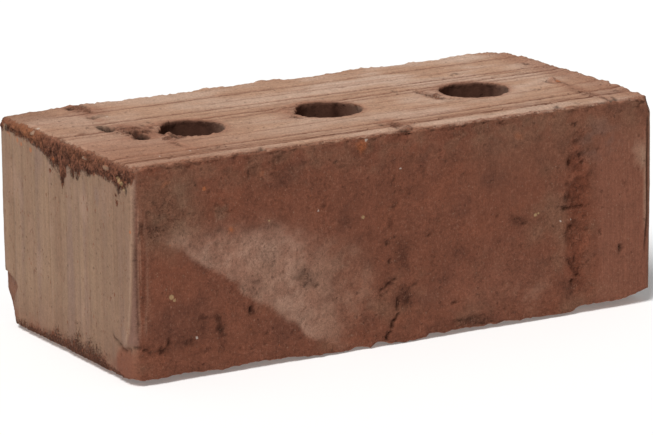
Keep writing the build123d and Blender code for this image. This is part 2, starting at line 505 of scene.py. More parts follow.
# The crack over the bulge at the foot of the left header: corners of the line in Y and Z
FOOT_CRACK = ((-41.5, 15.5), (-44, 14), (-47, 13.5), (-50, 12), (-55, 12.8), (-60.5, 15))

# Cracks of the front stretcher: corners of the line, half width and depth
FRONT_CRACKS = (
    (((-125.5, 15), (-123, 14.5), (-118, 11.5), (-112, 12), (-108.5, 14.5)), 0.8, 0.9),
    (((-9.5, -1), (-7.5, 2.5), (-6, 5), (-4, 9), (-2, 12), (-2.6, 18)), 0.75, 1.1),
    (((-10.5, 22.5), (-7, 25), (-3.5, 26.5)), 0.9, 0.9),
    (((-48.5, 15.6), (-40, 15.2), (-29.5, 16.4)), 0.6, 0.25),
    (((-40.4, 9.5), (-40, 16), (-39.4, 23.5)), 0.6, 0.22),
    (((80, 45.5), (84, 44.6), (88, 45.4), (92.5, 44.8)), 0.9, 0.8),
    (((81, 47), (80.4, 52), (82, 58)), 0.7, 0.6), (((92.6, 46), (92, 53), (92.8, 60)), 0.6, 0.45),
    (((82.5, 21.5), (85, 18), (87, 15)), 1, 0.9), (((87, 17.5), (90, 19.5), (95, 22.5)), 0.6, 0.6),
    (((24, 4.5), (32, 3), (38, 3.4)), 0.9, 0.35),
)

# Pits in the front stretcher: middle, half sizes and depth
FRONT_PITS = (
    (-120.8, 62, 2.2, 3, 0.7), (-118, 69, 1.4, 1.8, 0.5), (-113, 11, 1.3, 1, 0.8),
    (-109, 15.5, 0.9, 1.7, 0.9), (-99.5, 14, 1.1, 1.7, 0.7), (-72.2, 23, 1.1, 2.2, 0.9),
    (-41, 29, 1, 1, 0.8), (-38, 62, 1, 1.2, 0.7), (-34, 60, 0.9, 2.4, 0.6), (-21, 22, 1, 1.2, 0.7),
    (-6.2, 34, 1.4, 1.8, 0.9), (-5.4, 49.5, 1.2, 2.2, 0.6), (-3.4, 58, 1.2, 2, 0.5),
    (26, 12, 2.4, 1, 0.7), (31, 8, 1.6, 0.8, 0.5), (98, 33, 1, 1.2, 0.7), (84, 81.5, 1, 1.4, 0.8),
    (86.2, 73.5, 2.4, 0.9, 0.6), (82.4, 65.2, 1.4, 1.8, 1), (89.2, 64.2, 1.2, 1.2, 0.9),
    (88, 67.4, 1.4, 0.9, 0.8), (83.2, 37.2, 1.4, 1.6, 0.9), (79.8, 45, 1.8, 1, 1),
    (84.4, 40.6, 1.2, 0.8, 0.7), (85.6, 28.6, 1.2, 1.4, 0.8), (84, 13, 1, 1.4, 0.9),
    (84.2, 8.2, 0.9, 0.9, 0.7), (88.2, 8, 0.9, 0.8, 0.7), (91, 41, 1, 1.2, 0.6),
    (108.6, 24.2, 1.9, 2, 1.2), (110.8, 52, 1.2, 1, 0.5), (112.4, 49.4, 0.9, 0.9, 0.4),
    (60, 41.5, 2.6, 0.9, 0.5), (56, 44.5, 2.2, 0.8, 0.4), (14, 30.5, 1, 0.9, 0.4), (50, 5.5, 1.6, 1, 0.5),
    (-60.5, 82, 1.2, 2.6, 0.6), (-46.5, 79, 1, 3, 0.4), (5, 76, 1.8, 3, 0.5), (84, 87, 1.8, 1.2, 0.5),
    (-30, 38.5, 1, 1, 0.5),
)

# Flakes that have come off the front stretcher: middle, half sizes and depth
FRONT_FLAKES = (
    (87, 51, 5.6, 7.4, 1.2), (88, 42, 4, 2.2, 0.6), (86.5, 32, 6.2, 6.8, 1.2), (87, 22, 3.2, 4.6, 0.9),
    (84.6, 11, 2, 3.4, 0.6), (86.6, 64.6, 6, 5, 0.9), (85, 74, 4, 3.4, 0.6), (-69, 79, 4.6, 4.2, 0.35),
    (-82, 78.5, 3.6, 3.2, 0.25), (-57, 83, 3.4, 3, 0.4), (35, 2.5, 12, 3.2, 0.5),
    (-96, 83.5, 5.5, 3.5, 0.3),
)

# Raised or sunk rings on the front stretcher: middle, radius, width and height
FRONT_RINGS = (
    (82.8, 65, 3.4, 0.8, 0.6), (81.2, 50, 2.8, 0.8, 0.8), (83, 37, 3, 0.8, 0.7),
    (75, 23.5, 2.5, 0.5, -0.35), (52, 15.5, 2.4, 0.5, -0.45), (109, 24, 2.4, 0.6, 0.25),
    (-69, 79, 4.2, 0.7, 0.3),
)

# Lumps on the front stretcher: middle, half sizes and height
FRONT_LUMPS = (
    (-5.5, 18.5, 3, 6, 0.7), (-113, 5, 12, 6.5, 0.7), (-104, 18, 4, 5, 0.4), (80, 50.5, 2.4, 4, 0.6),
    (-88, 46, 4, 5, 0.3), (-82, 38.5, 4, 3, 0.3), (40, 48, 16, 20, 0.25), (84, 57, 3, 3, 0.5),
    (100, 8, 12, 8, 0.3),
)

# Patches of rough skin on the front stretcher: middle, half sizes and strength
ROUGH_PATCHES = (
    (-110, 68, 14, 14, 0.8), (-116, 60, 5, 6, 0.6), (-47, 33, 6.5, 6, 0.9), (1, 19, 5.5, 9, 0.9),
    (-1, 36, 4, 9, 0.5), (87, 50, 6.4, 9, 1), (86.5, 32, 6.8, 8, 1), (86.5, 65, 6.6, 6.4, 0.9),
    (87, 76, 5, 6, 0.5), (86, 16, 4, 9, 0.8), (35, 3, 13, 4, 0.9), (-62, 46, 12, 9, 0.5),
    (-84, 66, 8, 7, 0.6), (-68, 33, 9, 7, 0.5), (-112, 6, 12, 6.5, 0.45), (56, 43, 8, 5, 0.6),
    (-18, 83, 12, 5, 0.5), (30, 84, 22, 4, 0.4),
)

# How far from its rim a core shapes the bed, in millimetres
RIM_ZONE = 6.0

# How far clay that the wire dragged hangs into the mouth of each core, at each angle round it in degrees
RIM_ANGLES = (0, 60, 95, 110, 125, 140, 153, 168, 180, 192, 200, 210, 222, 232, 260, 300, 360)
RIM_BULGES = (
    (0, 0.4, 1.2, 2.4, 4, 5, 5.3, 4.2, 2.6, 1.4, 2.2, 3.4, 2.4, 0.4, 0.3, 0, 0),
    (0, 0.3, 0.8, 1.6, 2.8, 3.8, 4, 3, 1.6, 0.8, 0.4, 0.2, 0, 0, 0, 0, 0),
    (0, 0.2, 0.6, 1, 1.4, 1.8, 1.8, 1.6, 1.4, 1, 0.8, 0.6, 0.2, 0, 0, 0, 0),
)

# Trails of dragged clay across the upper bed: place along X, start and end in Y, half width and share
DRAG_TRAILS = (
    (-91.5, 38, 60, 6, 0.85), (-94, 24, 38, 2.6, 0.5), (-91, -16, 16, 9, 0.8), (-86.5, -46, -22, 3, 0.5),
    (5, -60, -36, 5, 0.75), (106.5, -60, -8, 4, 0.65), (48, -16, 6, 4, 0.6), (-24, -16, 10, 5, 0.4),
    (16, 56, 60, 16, 0.5),
)

# Lower edge of the pale band on the front stretcher: a point on each stretch of it, and its lean
BAND_EDGES = ((-93, 41, 0.7), (-72, 25.5, 0.55), (-50, 12, 0.62))

# Dark patches on the front stretcher, mostly over its pits, rough skin and flakes: middle, half sizes and
# share
FRONT_DARK_PATCHES = (
    (-72.2, 23, 2, 3.4, 0.7), (-47, 33, 6, 5.6, 0.3), (1, 18, 5, 8, 0.5), (0, 36, 4, 12, 0.35),
    (-118, 62, 4, 6, 0.35), (-112, 11.5, 6, 2.2, 0.4), (-104, 13.5, 7, 2.4, 0.3), (-86, 58.5, 3, 2, 0.45),
    (56, 43, 6, 3.6, 0.3), (35, 2, 12, 2.6, 0.2), (-43, 30, 3, 3, 0.35), (-90, 57, 5, 4, 0.25),
)

# Dark smudges on the front stretcher: corners of the line, half width and share
FRONT_SMUDGES = (
    (((-94.5, 14.5), (-93.8, 19), (-91, 23), (-87, 22.8)), 2, 0.4),
    (((-87, 23), (-85.6, 19), (-85.4, 13), (-85.6, 9.5)), 3.4, 0.4),
    (((-97.5, 8), (-94, 10), (-90, 9.5)), 1.8, 0.3),
)

# Orange smears on the front stretcher: middle, half sizes and share
ORANGE_SMEARS = (
    (-19, 84, 3.4, 4, 0.75), (-92.6, 76, 1.4, 1.8, 0.5), (-80.5, 57.5, 1.3, 1.8, 0.5),
    (57, 79.5, 3.2, 2.6, 0.3), (-110, 80, 4, 1.6, 0.3), (-66, 79, 2, 2, 0.3),
)

# Painted shade in nicks and beside crumbs, painted at the points: middle and half sizes over the face, and
# share
WIDE_BED_MARKS = (
    (-121.2, -39.6, 1.5, 1.1, 0.4), (-105.2, -31.6, 0.75, 1.4, 0.7), (-104.5, 17.4, 0.75, 2, 0.6),
    (-98.9, 12.4, 3.3, 7.4, 0.82), (-98.9, 12, 0.9, 7, 0.95), (-94.8, -12.3, 3, 3.2, 0.9),
    (-94.6, -10.9, 3.8, 4.8, 0.82), (-94.4, -4, 2.1, 5.4, 0.78), (-93.7, 33.9, 2.7, 2.7, 0.55),
    (-93.3, 9.5, 0.8, 2.2, 0.4), (-88.9, 35, 2.6, 3.8, 0.3), (-88, -30.2, 1.1, 2.3, 0.6),
    (-87.8, -3.5, 2.1, 1.8, 0.5), (-85.1, -11.9, 0.75, 2.7, 0.55), (-83.1, 9.2, 0.75, 2.8, 0.65),
    (-82.6, -16.4, 1.4, 3.4, 0.6), (-78.2, 12.4, 0.75, 3.1, 0.65), (-77.6, -43.9, 0.75, 2.4, 0.5),
    (-75.9, -48.4, 1.6, 1.6, 0.4), (-63.4, -55.5, 0.75, 2.2, 0.65), (-43.7, -10.2, 1, 1.2, 0.6),
    (-15.6, 6.9, 0.75, 2.8, 0.6), (-0.2, -44.5, 1.5, 2.5, 0.5), (2.4, -50.7, 0.75, 3.2, 0.5),
    (3.3, -34.7, 1.5, 2.1, 0.4), (24.2, 29.4, 2.5, 0.75, 0.45), (39.4, 10.7, 1, 1.3, 0.6),
    (78.4, -46.3, 0.75, 1.9, 0.65), (79.7, -54.8, 1, 2, 0.8), (80.7, 26.5, 2.3, 1.7, 0.5),
    (90.1, -53.5, 0.75, 2.1, 0.45), (91.1, -34.6, 0.75, 1.4, 0.6), (93.1, -19.8, 1.8, 1.6, 0.55),
    (104.4, -10.1, 1.2, 1.6, 0.75), (105.8, -52.2, 0.75, 2.8, 0.65), (107, -14, 0.75, 3.5, 0.5),
    (107.6, -22.4, 0.9, 1.9, 0.4), (108.2, -16.6, 0.75, 4, 0.55), (109.8, -53.2, 0.75, 2.9, 0.75),
    (118.3, 29.2, 0.75, 2.7, 0.6), (119, -40.6, 1.3, 1.2, 0.5),
)
WIDE_FRONT_MARKS = (
    (-126.2, 13.1, 1.5, 0.75, 0.65), (-125.3, 14.9, 1.2, 0.75, 0.65), (-122.3, 59.4, 0.9, 2, 0.4),
    (-120.8, 64.3, 1, 1.7, 0.5), (-119.4, 26.4, 0.6, 0.9, 0.5), (-119.1, 10.6, 1, 0.4, 0.7),
    (-117.7, 14.3, 1, 1.3, 0.35), (-115.7, 72.8, 1.5, 1.2, 0.35), (-114, 62.2, 1.4, 1.7, 0.4),
    (-113.5, 83, 1, 1.2, 0.5), (-113.1, 12.4, 0.9, 1.3, 0.6), (-109.4, 14.9, 0.5, 0.7, 0.8),
    (-109, 75.9, 1, 0.7, 0.4), (-101.4, 13.7, 1.2, 1.2, 0.5), (-96.6, 17.3, 0.6, 0.4, 0.6),
    (-94.9, 3.5, 0.7, 0.3, 0.6), (-94.1, 23, 1.7, 1.3, 0.55), (-92.5, 9, 1, 0.9, 0.35),
    (-91.1, 25.9, 1.3, 0.4, 0.4), (-89.9, 35.5, 0.5, 0.4, 0.6), (-88.8, 39.9, 0.4, 0.3, 0.6),
    (-87.7, 52.5, 0.8, 1.7, 0.35), (-87.2, 68.7, 1.8, 0.75, 0.4), (-86.8, 20.7, 1.2, 1.7, 0.5),
    (-86.2, 16.9, 2.1, 1.6, 0.75), (-85.9, 58.4, 1.8, 0.75, 0.35), (-82.5, 36.6, 0.6, 1.2, 0.35),
    (-73.9, 62.2, 1.4, 0.8, 0.45), (-71.8, 22.8, 0.9, 1.5, 0.65), (-69, 34.1, 2, 0.8, 0.3),
    (-60.8, 78.1, 1.4, 1.2, 0.5), (-59.2, 77.3, 1.8, 1.1, 0.35), (-53.3, 11.2, 0.75, 1, 0.5),
    (-51.5, 23.3, 0.4, 0.3, 0.6), (-51.1, 33.4, 0.75, 1.6, 0.5), (-49.6, 7.9, 2, 0.4, 0.35),
    (-47.8, 45, 0.75, 1.3, 0.4), (-47.4, 26.7, 0.4, 0.3, 0.6), (-47.2, 36.2, 1.1, 1, 0.35),
    (-46.7, 29.9, 1.1, 0.4, 0.6), (-45.6, 48, 0.6, 0.9, 0.6), (-43.6, 32.9, 0.6, 1.3, 0.4),
    (-41.7, 29.5, 0.6, 0.7, 0.75), (-37.8, 61.7, 0.75, 2, 0.5), (-31.7, 79, 0.9, 0.7, 0.5),
    (-28.6, 77.1, 2.2, 0.75, 0.4), (-25.4, 75.2, 1.3, 0.4, 0.5), (-22.8, 28.8, 0.5, 0.4, 0.5),
    (-21.2, 22.1, 0.7, 0.9, 0.45), (-11, 26.3, 0.4, 0.3, 0.6), (-7.5, 22.1, 0.75, 1.2, 0.5),
    (-7.3, 42, 1.1, 1.6, 0.7), (-6.6, 49.7, 0.75, 1.7, 0.45), (-5.8, 6.3, 0.75, 1.3, 0.6),
    (-5.2, 66.7, 0.75, 1.7, 0.4), (-4.6, 56.8, 0.9, 1.2, 0.4), (-4.1, 43.8, 1.1, 0.4, 0.5),
    (-4, 9, 1.2, 1.2, 0.75), (-3.9, 69.1, 0.9, 1.1, 0.5), (-3.6, 25.7, 1.2, 0.75, 0.6),
    (2.8, 16.7, 1, 2, 0.3), (4.1, 14.2, 0.6, 0.9, 0.5), (5.5, 22.8, 1.4, 0.75, 0.55),
    (10.4, 70.1, 0.6, 0.9, 0.5), (15, 87.3, 1.6, 0.75, 0.6), (25.9, 12, 1.6, 0.75, 0.5),
    (28.2, 3.7, 1.1, 0.4, 0.5), (29, 66.4, 1.3, 0.4, 0.45), (29.9, 87.1, 1.4, 0.75, 0.7),
    (32.7, 3.9, 2, 0.75, 0.5), (38.8, 1.7, 1.6, 0.75, 0.55), (44.1, 1.4, 1.1, 0.4, 0.5),
    (48, 0.6, 1.5, 0.75, 0.75), (49.4, 16.6, 0.6, 0.9, 0.4), (51.7, 40.8, 1.6, 0.5, 0.4),
    (54.1, 0.6, 0.8, 0.4, 0.5), (56.3, 43.9, 2, 0.4, 0.4), (64, 41.9, 0.6, 0.9, 0.5),
    (73.3, 23.9, 0.6, 1.1, 0.45), (80.2, 49.6, 0.9, 1.1, 0.55), (81.7, 65.4, 0.75, 1.1, 0.55),
    (81.9, 23.1, 1.1, 0.6, 0.5), (82, 75.1, 1.1, 0.5, 0.45), (82.1, 34.9, 0.5, 1, 0.5),
    (82.2, 37.5, 0.75, 1.2, 0.6), (82.8, 50.5, 1.3, 0.4, 0.45), (83, 20.3, 0.75, 1.3, 0.6),
    (83.1, 10.2, 0.8, 0.6, 0.4), (83.2, 55.4, 0.4, 1.7, 0.4), (83.4, 13.4, 0.5, 1.3, 0.5),
    (83.9, 66.1, 1.1, 0.4, 0.45), (84.2, 17.5, 0.8, 0.7, 0.5), (84.2, 39.1, 1.6, 0.4, 0.5),
    (84.5, 45.5, 1.5, 0.4, 0.5), (85.2, 22.1, 1, 0.8, 0.55), (85.2, 80.7, 0.75, 0.8, 0.8),
    (85.6, 73.7, 0.8, 0.4, 0.4), (86.7, 16.1, 1.1, 0.75, 0.6), (86.8, 62.3, 0.8, 0.6, 0.4),
    (87.5, 9, 1, 0.5, 0.4), (88.6, 67.7, 1.5, 0.75, 0.5), (88.7, 50, 1.6, 0.4, 0.35),
    (89, 60.9, 1.2, 0.75, 0.5), (90.9, 57.8, 0.4, 1.2, 0.5), (91, 35.7, 0.4, 2, 0.4),
    (91, 40.2, 0.75, 2.2, 0.4), (92.3, 63.4, 0.5, 1, 0.45), (95.2, 22.5, 0.5, 1, 0.45),
    (97.7, 33, 0.4, 0.8, 0.5), (98.1, 37.1, 0.4, 0.4, 0.5), (109.6, 23.1, 0.8, 0.4, 0.45),
    (116.7, 85, 0.8, 0.5, 0.6), (122.8, 82.3, 0.6, 0.7, 0.7),
)
WIDE_HEADER_MARKS = (
    (-56.1, 83, 2.2, 1.7, 0.6), (-55, 78.1, 1, 1.6, 0.75), (-47.7, 77.6, 1.1, 1.7, 0.8),
    (-34.5, 81.7, 1.8, 1, 0.55), (-25.9, 84.4, 2.2, 0.9, 0.45), (-22.6, 79, 1.6, 1.7, 0.55),
    (-16.7, 76, 0.9, 0.75, 0.55), (-13.6, 84.3, 2.7, 1.5, 0.5), (-12.5, 74.9, 0.9, 1.5, 0.6),
    (-8.4, 76, 1.6, 2, 0.7), (-6.4, 83.1, 1.8, 2.2, 0.45), (-0.8, 78.9, 2.5, 1.6, 0.55),
    (1.1, 72.7, 1, 2.6, 0.75), (4.6, 72.2, 1.3, 0.75, 0.4), (5.6, 78.3, 2, 2.2, 0.75),
    (5.7, 83.7, 3.6, 2.8, 0.6), (10.2, 76.3, 1.4, 1.3, 0.6), (14.6, 79.2, 1.4, 2.2, 0.6),
    (23.2, 81, 1.8, 0.75, 0.5), (40.7, 84.4, 2.2, 1.7, 0.6), (45, 82.3, 1, 0.9, 0.5),
    (52, 84, 2.2, 1.7, 0.5),
)

# The sharpest nicks, whose painted shade the material draws, in the same terms
FINE_BED_MARKS = (
    (-94.2, -4.3, 0.4, 5.5, 0.9), (-82, 5.1, 0.7, 2.4, 0.55), (-70.6, 9.1, 0.4, 3.3, 0.7),
    (48.4, 1.5, 0.6, 2.6, 0.6), (107.2, -6.9, 0.4, 5, 0.55),
)
FINE_FRONT_MARKS = (
    (-84.7, 14.4, 2, 0.8, 0.55), (-72.2, 79.5, 0.8, 2.2, 0.4), (-56, 86.4, 1.7, 0.7, 0.55),
    (-7.8, 3.4, 0.6, 1.6, 0.65), (-5.8, 24.6, 2, 0.7, 0.7), (79.5, 46.2, 2, 0.6, 0.6),
    (107.8, 25.1, 0.7, 1.4, 0.75), (117, 87.2, 1, 0.8, 0.75), (119.6, 86.3, 1.3, 0.8, 0.6),
)

# Grains that stand out in the clay: place and radius
PALE_SPECKS = (
    (-17, -60, 86.6, 0.75), (-1, -60, 72.7, 0.5), (-97, -60, 15, 0.7), (78, -60, 40, 0.45),
    (83, -60, 40, 0.45), (-122.5, 27, 88, 0.7), (-88, 32, 88, 0.75), (-90, -44, 88, 0.7),
    (-86, -43, 88, 0.6), (-40, -60, 60, 0.5), (-104, -45, 88, 0.5),
)
YELLOW_SPECKS = (
    (-108.2, -60, 33.4, 1.2), (-106.8, -60, 32, 0.8), (-18.8, -60, 54.5, 0.9), (65.5, -60, 44.2, 0.8),
    (67, -60, 44.8, 0.6), (-63, -60, 59, 0.6), (-125, -47.8, 82.2, 0.9), (-125, -49.2, 81.3, 1),
    (-125, -50.6, 80.4, 1), (-125, -52, 79.4, 0.9), (-125, -53.2, 78.5, 0.7),
)
ORANGE_SPECKS = (
    (-92.6, -60, 76, 0.9), (-80.5, -60, 57.5, 0.8), (-125, 30, 78.6, 1.2), (-125, 42, 80.5, 1),
    (-125, 38.5, 79.6, 1), (-125, -57.5, 62, 0.8), (-91, 57, 88.6, 1.6), (-125, 9, 79, 0.8),
    (107.8, -13, 88.8, 1.3),
)


class Skin:
    """The points of the brick's skin while it is shaped: place, way out, share of each face and measures."""

    def __init__(self, points):
        self.start = points
        self.place = points.copy()
        self.out = np.zeros_like(points)
        self.faces = {}
        self.torn = np.full(len(points), UNTORN)
        self.wire_gap = np.full(len(points), FAR_FROM_WIRE)
        for name in ("height", "fracture", *SHARED_MEASURES):
            setattr(self, name, np.zeros(len(points)))

    def add(self, face, relief):
        """Adds a face's relief where the points are on that face, each by its share of it."""
        share = self.faces[face]
        near = np.nonzero(share > LEAST_SHARE)[0]
        share = share[near]
        found = relief(self.place[near])
        for name in ("height", *SHARED_MEASURES):
            getattr(self, name)[near] += share * found.get(name, 0)
        self.torn[near] = np.maximum(self.torn[near], found.get("torn", UNTORN) - 4 * (1 - share))
        if "wire_gap" in found:
            self.wire_gap[near] = found["wire_gap"]


def arris_arc(lead, radius):
    """
    Where a point lands on a round arris. The lead is its distance from the arris over the first face, or
    minus that over the second one. Back come its two distances after rounding, and the turn of the way out.
    """
    radius = np.maximum(radius, SMALLEST)
    turn = np.clip(np.pi / 4 * (1 + lead / radius), 0, np.pi / 2)
    on_arc = np.abs(lead) < radius
    first = np.where(on_arc, radius * (1 - np.cos(turn)), np.maximum(lead, 0))
    second = np.where(on_arc, radius * (1 - np.sin(turn)), np.maximum(-lead, 0))
    return first, second, turn


def bed_wear(foot, upper):
    """The bed arris's radius at the foot of each point: each side's wear, blended and uneven."""
    from_ends = {
        "left": HALF_LENGTH + foot[:, 0],
        "right": HALF_LENGTH - foot[:, 0],
        "front": HALF_WIDTH + foot[:, 1],
        "rear": HALF_WIDTH - foot[:, 1],
    }
    shares = {side: np.exp(-gap / 2.5) for side, gap in from_ends.items()}
    total = sum(shares.values())
    worn = sum(shares[side] * UPPER_ARRIS_WEAR[side] for side in shares) / total
    sound = sum(shares[side] * UNDER_ARRIS_WEAR[side] for side in shares) / total
    uneven = 1 + 0.35 * rough(foot, 7.0, 11, 3)
    return np.where(upper, worn, sound) * np.clip(uneven, 0.45, 1.7)


def ease_arrises(skin, shape):
    """
    Rounds the upright arrises, then the arrises of the beds and the rims of the cores, each as an arc, and
    finds the way out at each point. A point on a bed is taken with the layer of the outline that it is on.
    """
    x, y, z = skin.start.T
    side_x, side_y = np.where(x < 0, -1, 1), np.where(y < 0, -1, 1)
    from_x, from_y = HALF_LENGTH - np.abs(x), HALF_WIDTH - np.abs(y)
    depth = np.minimum(from_x, from_y)
    worn_corner = rise(x, 100, 120) * rise(y, 35, 55) * rise(z, 56, 84)
    worn = shape.upright_arris + (shape.worn_upright - shape.upright_arris) * worn_corner
    radius = np.maximum(worn - depth, SMALLEST)
    round_x, round_y, turn = arris_arc(from_x - from_y, radius)
    flat_out = np.stack([side_x * np.cos(turn), side_y * np.sin(turn), np.zeros_like(x)], -1)
    out_x, out_y = HALF_LENGTH - depth - round_x, HALF_WIDTH - depth - round_y
    place = np.stack([side_x * out_x, side_y * out_y, z], -1)

    upper = z > HEIGHT / 2
    side_z = np.where(upper, 1, -1)
    from_bed = np.minimum(z, HEIGHT - z)
    foot_x, foot_y = HALF_LENGTH - from_x + depth, HALF_WIDTH - from_y + depth
    foot = np.stack([side_x * foot_x, side_y * foot_y, 9.0 * side_z], -1)
    inwards, down, lean = arris_arc(depth - from_bed, bed_wear(foot, upper))
    place -= flat_out * (inwards - depth)[:, None]
    place[:, 2] = np.where(upper, HEIGHT - down, down)
    out = flat_out * np.cos(lean)[:, None]
    out[:, 2] = side_z * np.sin(lean)

    core = np.zeros(len(x))
    for (middle_x, middle_y), bulges in zip(CORES, RIM_BULGES):
        spoke = np.stack([x - middle_x, y - middle_y, np.zeros_like(x)], -1)
        reach = np.linalg.norm(spoke, axis=-1)
        spoke /= np.maximum(reach, 1e-9)[:, None]
        beyond = reach - CORE_RADIUS
        near = beyond < RIM_ZONE
        rim_wear = shape.rim_wear * np.clip(1 + 0.5 * rough(skin.start, 5.0, 23, 3), 0.3, 2)
        outwards, down, lean = arris_arc(np.maximum(beyond, 0) - from_bed, rim_wear)
        middle = np.array((middle_x, middle_y, 0.0))
        around = np.degrees(np.arctan2(spoke[:, 1], spoke[:, 0])) % 360
        bulge = np.interp(around, RIM_ANGLES, bulges) * rise(z, HEIGHT - 9, HEIGHT - 0.5)
        bulge *= 1 + 0.12 * rough(skin.start, 3.0, 29, 2)
        bulge += 0.5 * np.abs(rough(skin.start, 2.8, 31, 3)) * rise(z, HEIGHT - 4, HEIGHT - 0.5)
        squeeze = (1 - np.clip(beyond, 0, RIM_ZONE) / RIM_ZONE) ** 2
        on_rim = middle + spoke * (CORE_RADIUS + outwards - bulge * squeeze)[:, None]
        on_rim[:, 2] = np.where(upper, HEIGHT - down, down)
        place[near] = on_rim[near]
        rim_out = -spoke * np.cos(lean)[:, None]
        rim_out[:, 2] = side_z * np.sin(lean)
        out[near] = rim_out[near]
        core = np.where(near, np.cos(lean) ** 2, core)

    skin.place, skin.out = place, out
    shares = out**2
    skin.faces = {
        "upper": shares[:, 2] * upper,
        "under": shares[:, 2] * ~upper,
        "left": shares[:, 0] * (out[:, 0] < 0) * (1 - core),
        "right": shares[:, 0] * (out[:, 0] > 0) * (1 - core),
        "front": shares[:, 1] * (out[:, 1] < 0) * (1 - core),
        "rear": shares[:, 1] * (out[:, 1] > 0) * (1 - core),
        "core": core,
    }


# Relief of the faces, in millimetres outwards

def oval(across, up, mark, edge):
    """1 inside an oval and 0 outside it. The slope takes the edge's share of the way in from the rim."""
    middle_across, middle_up, half_across, half_up = mark[:4]
    reach = np.hypot((across - middle_across) / half_across, (up - middle_up) / half_up)
    return rise(1 - reach, 0, edge)


def ovals(across, up, marks, edge):
    """The sum of ovals, each times the last number of its mark."""
    return sum(mark[4] * oval(across, up, mark, edge) for mark in marks)


def lines_over(across, up, lines):
    """The sum of lines: each has its strength along its corners, and falls to 0 at its half width."""
    gaps = [half - polyline_distance(across, up, corners) for corners, half, _ in lines]
    return sum(strength * rise(gap, 0, half) for gap, (_, half, strength) in zip(gaps, lines))


def shaded_rim(across, up, mark):
    """1 just inside the left and upper rim of an oval, where the light doesn't reach, and 0 elsewhere."""
    middle_across, middle_up, half_across, half_up = mark[:4]
    side, height = (across - middle_across) / half_across, (up - middle_up) / half_up
    reach = np.hypot(side, height)
    return bell(reach, 0.88, 0.16) * rise(height - side, 0.0, 1.0)


def ring(across, up, middle_across, middle_up, radius, width):
    """1 on a circle and falling away on both sides of it."""
    return bell(np.hypot(across - middle_across, up - middle_up), radius, width)


def wandered(points, axes, size, reach, seed):
    """Two coordinates of the points, each moved by noise, so that marks on them get ragged outlines."""
    shifts = [reach * rough(points, size, seed + 5 * step, 2) for step in range(2)]
    return [points[:, axis] + shift for axis, shift in zip(axes, shifts)]


def wire_lines(points, lines, drift):
    """
    Lines that the wire drew along a bed: each one a parabola through its three places, and a bell across.
    Back come the signed distance to the nearest line, how strong that line is, and the sum of all the bells.
    """
    share = points[:, 0] / HALF_LENGTH
    nearest = np.full(len(points), 9.0)
    strongest = np.zeros(len(points))
    total = np.zeros(len(points))
    for left, middle, right, width, depth, start, full in lines:
        line = middle + (right - left) / 2 * share + ((left + right) / 2 - middle) * share**2
        gap = points[:, 1] - line + drift
        strength = depth * rise(points[:, 0], start, full)
        total += strength * bell(gap, 0, width / 2)
        closer = np.abs(gap) < np.abs(nearest)
        strongest = np.where(closer, strength * rise(2.2 - np.abs(gap), 0, 0.8), strongest)
        nearest = np.where(closer, gap, nearest)
    return nearest, strongest, total


def drawn_bed(points, seed, depth=1.0):
    """A bed as the wire leaves it: furrows and ridges along X, over streaks and a gentle wave."""
    drift = 0.3 * noise(points, (17, 400, 40), seed) + 0.12 * noise(points, (5, 400, 40), seed + 1)
    gap, cut, furrows = wire_lines(points, FURROWS, drift)
    ridges = wire_lines(points, RIDGES, drift)[2]
    uneven = 0.8 + 0.6 * noise(points, (6, 3, 40), seed + 2)
    streaks = rough(points, (50, 1.9, 40), seed + 3, 3)
    waves = rough(points, (70, 9, 40), seed + 4, 2)
    grain = rough(points, (3.2, 2.2, 40), seed + 5, 3)
    snags = rise(rough(points, (11, 1.5, 40), seed + 6, 3), 0.28, 0.7)
    height = depth * (ridges * uneven - furrows * np.clip(uneven, 0.4, 1.4))
    height += 0.10 * streaks + 0.16 * waves + 0.13 * grain - 0.3 * snags
    # Painted shade in the furrows and snags
    hollow = 0.35 * depth * furrows + 0.2 * snags
    return {"height": height, "wire_gap": gap, "wire_cut": depth * cut, "hollow": hollow}


def upper_bed(points):
    """The upper bed: what the wire drew, with pits, lumps and tears, and crumbled clay by the left core."""
    found = drawn_bed(points, 101)
    x, y = wandered(points, (0, 1), 2.6, 0.45, 131)
    crumb = crumbs(points, 2.3, 137)
    small = crumbs(points, 1.3, 139)
    loose = np.max([strength * oval(x, y, mark, edge) for *mark, edge, strength in LOOSE_PATCHES], axis=0)
    pits = ovals(x, y, BED_PITS, 0.45)
    tears = lines_over(x, y, BED_TEARS)
    lumps = ovals(x, y, BED_LUMPS, 1.0)
    worn_end = rise(points[:, 0], 104, 124)
    height = found["height"] * (1 - 0.55 * loose) + lumps * (0.75 + 0.6 * crumb) - pits - tears
    height += loose * (1.5 * crumb + 0.7 * small - 0.9) + worn_end * (0.5 * crumb - 0.3)

    nicks = marks_over(x, y, WIDE_BED_MARKS)
    height -= NICK_DEPTH * nicks
    front_edge = rise(-points[:, 1], 54.5, 59.0)
    height += front_edge * (0.8 * rough(points, (4.0, 1.4, 40), 149, 3) + 1.1 * crumb - 0.9)
    found["height"] = height
    # Painted shade: crevices between loose crumbs and at the front edge, with pits, tears and nicks, go into
    # hollow
    crevices = loose * rise(0.42 - crumb, 0, 0.3) + 0.6 * loose * rise(0.4 - small, 0, 0.3)
    edge_crevices = front_edge * rise(0.4 - crumb, 0, 0.25)
    hollow = found["hollow"] + 0.75 * (pits + tears) + 0.7 * crevices + 0.5 * edge_crevices
    found["hollow"] = np.maximum(np.clip(hollow, 0, 1.2), NICK_SHADE * nicks)
    found["torn"] = np.where(loose > 0.05, -1.2 + 1.5 * loose + 0.9 * (0.4 - crumb), UNTORN)
    found["torn"] = np.maximum(found["torn"], -3.2 + 3.4 * front_edge + 1.6 * (0.4 - crumb))
    found["rusty"] = rise(-points[:, 0], 112, 121) * bell(points[:, 1], 36, 16)
    found["crumbly"] = np.clip(0.9 * loose + 0.5 * worn_end + 0.8 * front_edge + 0.08, 0, 1)
    return found


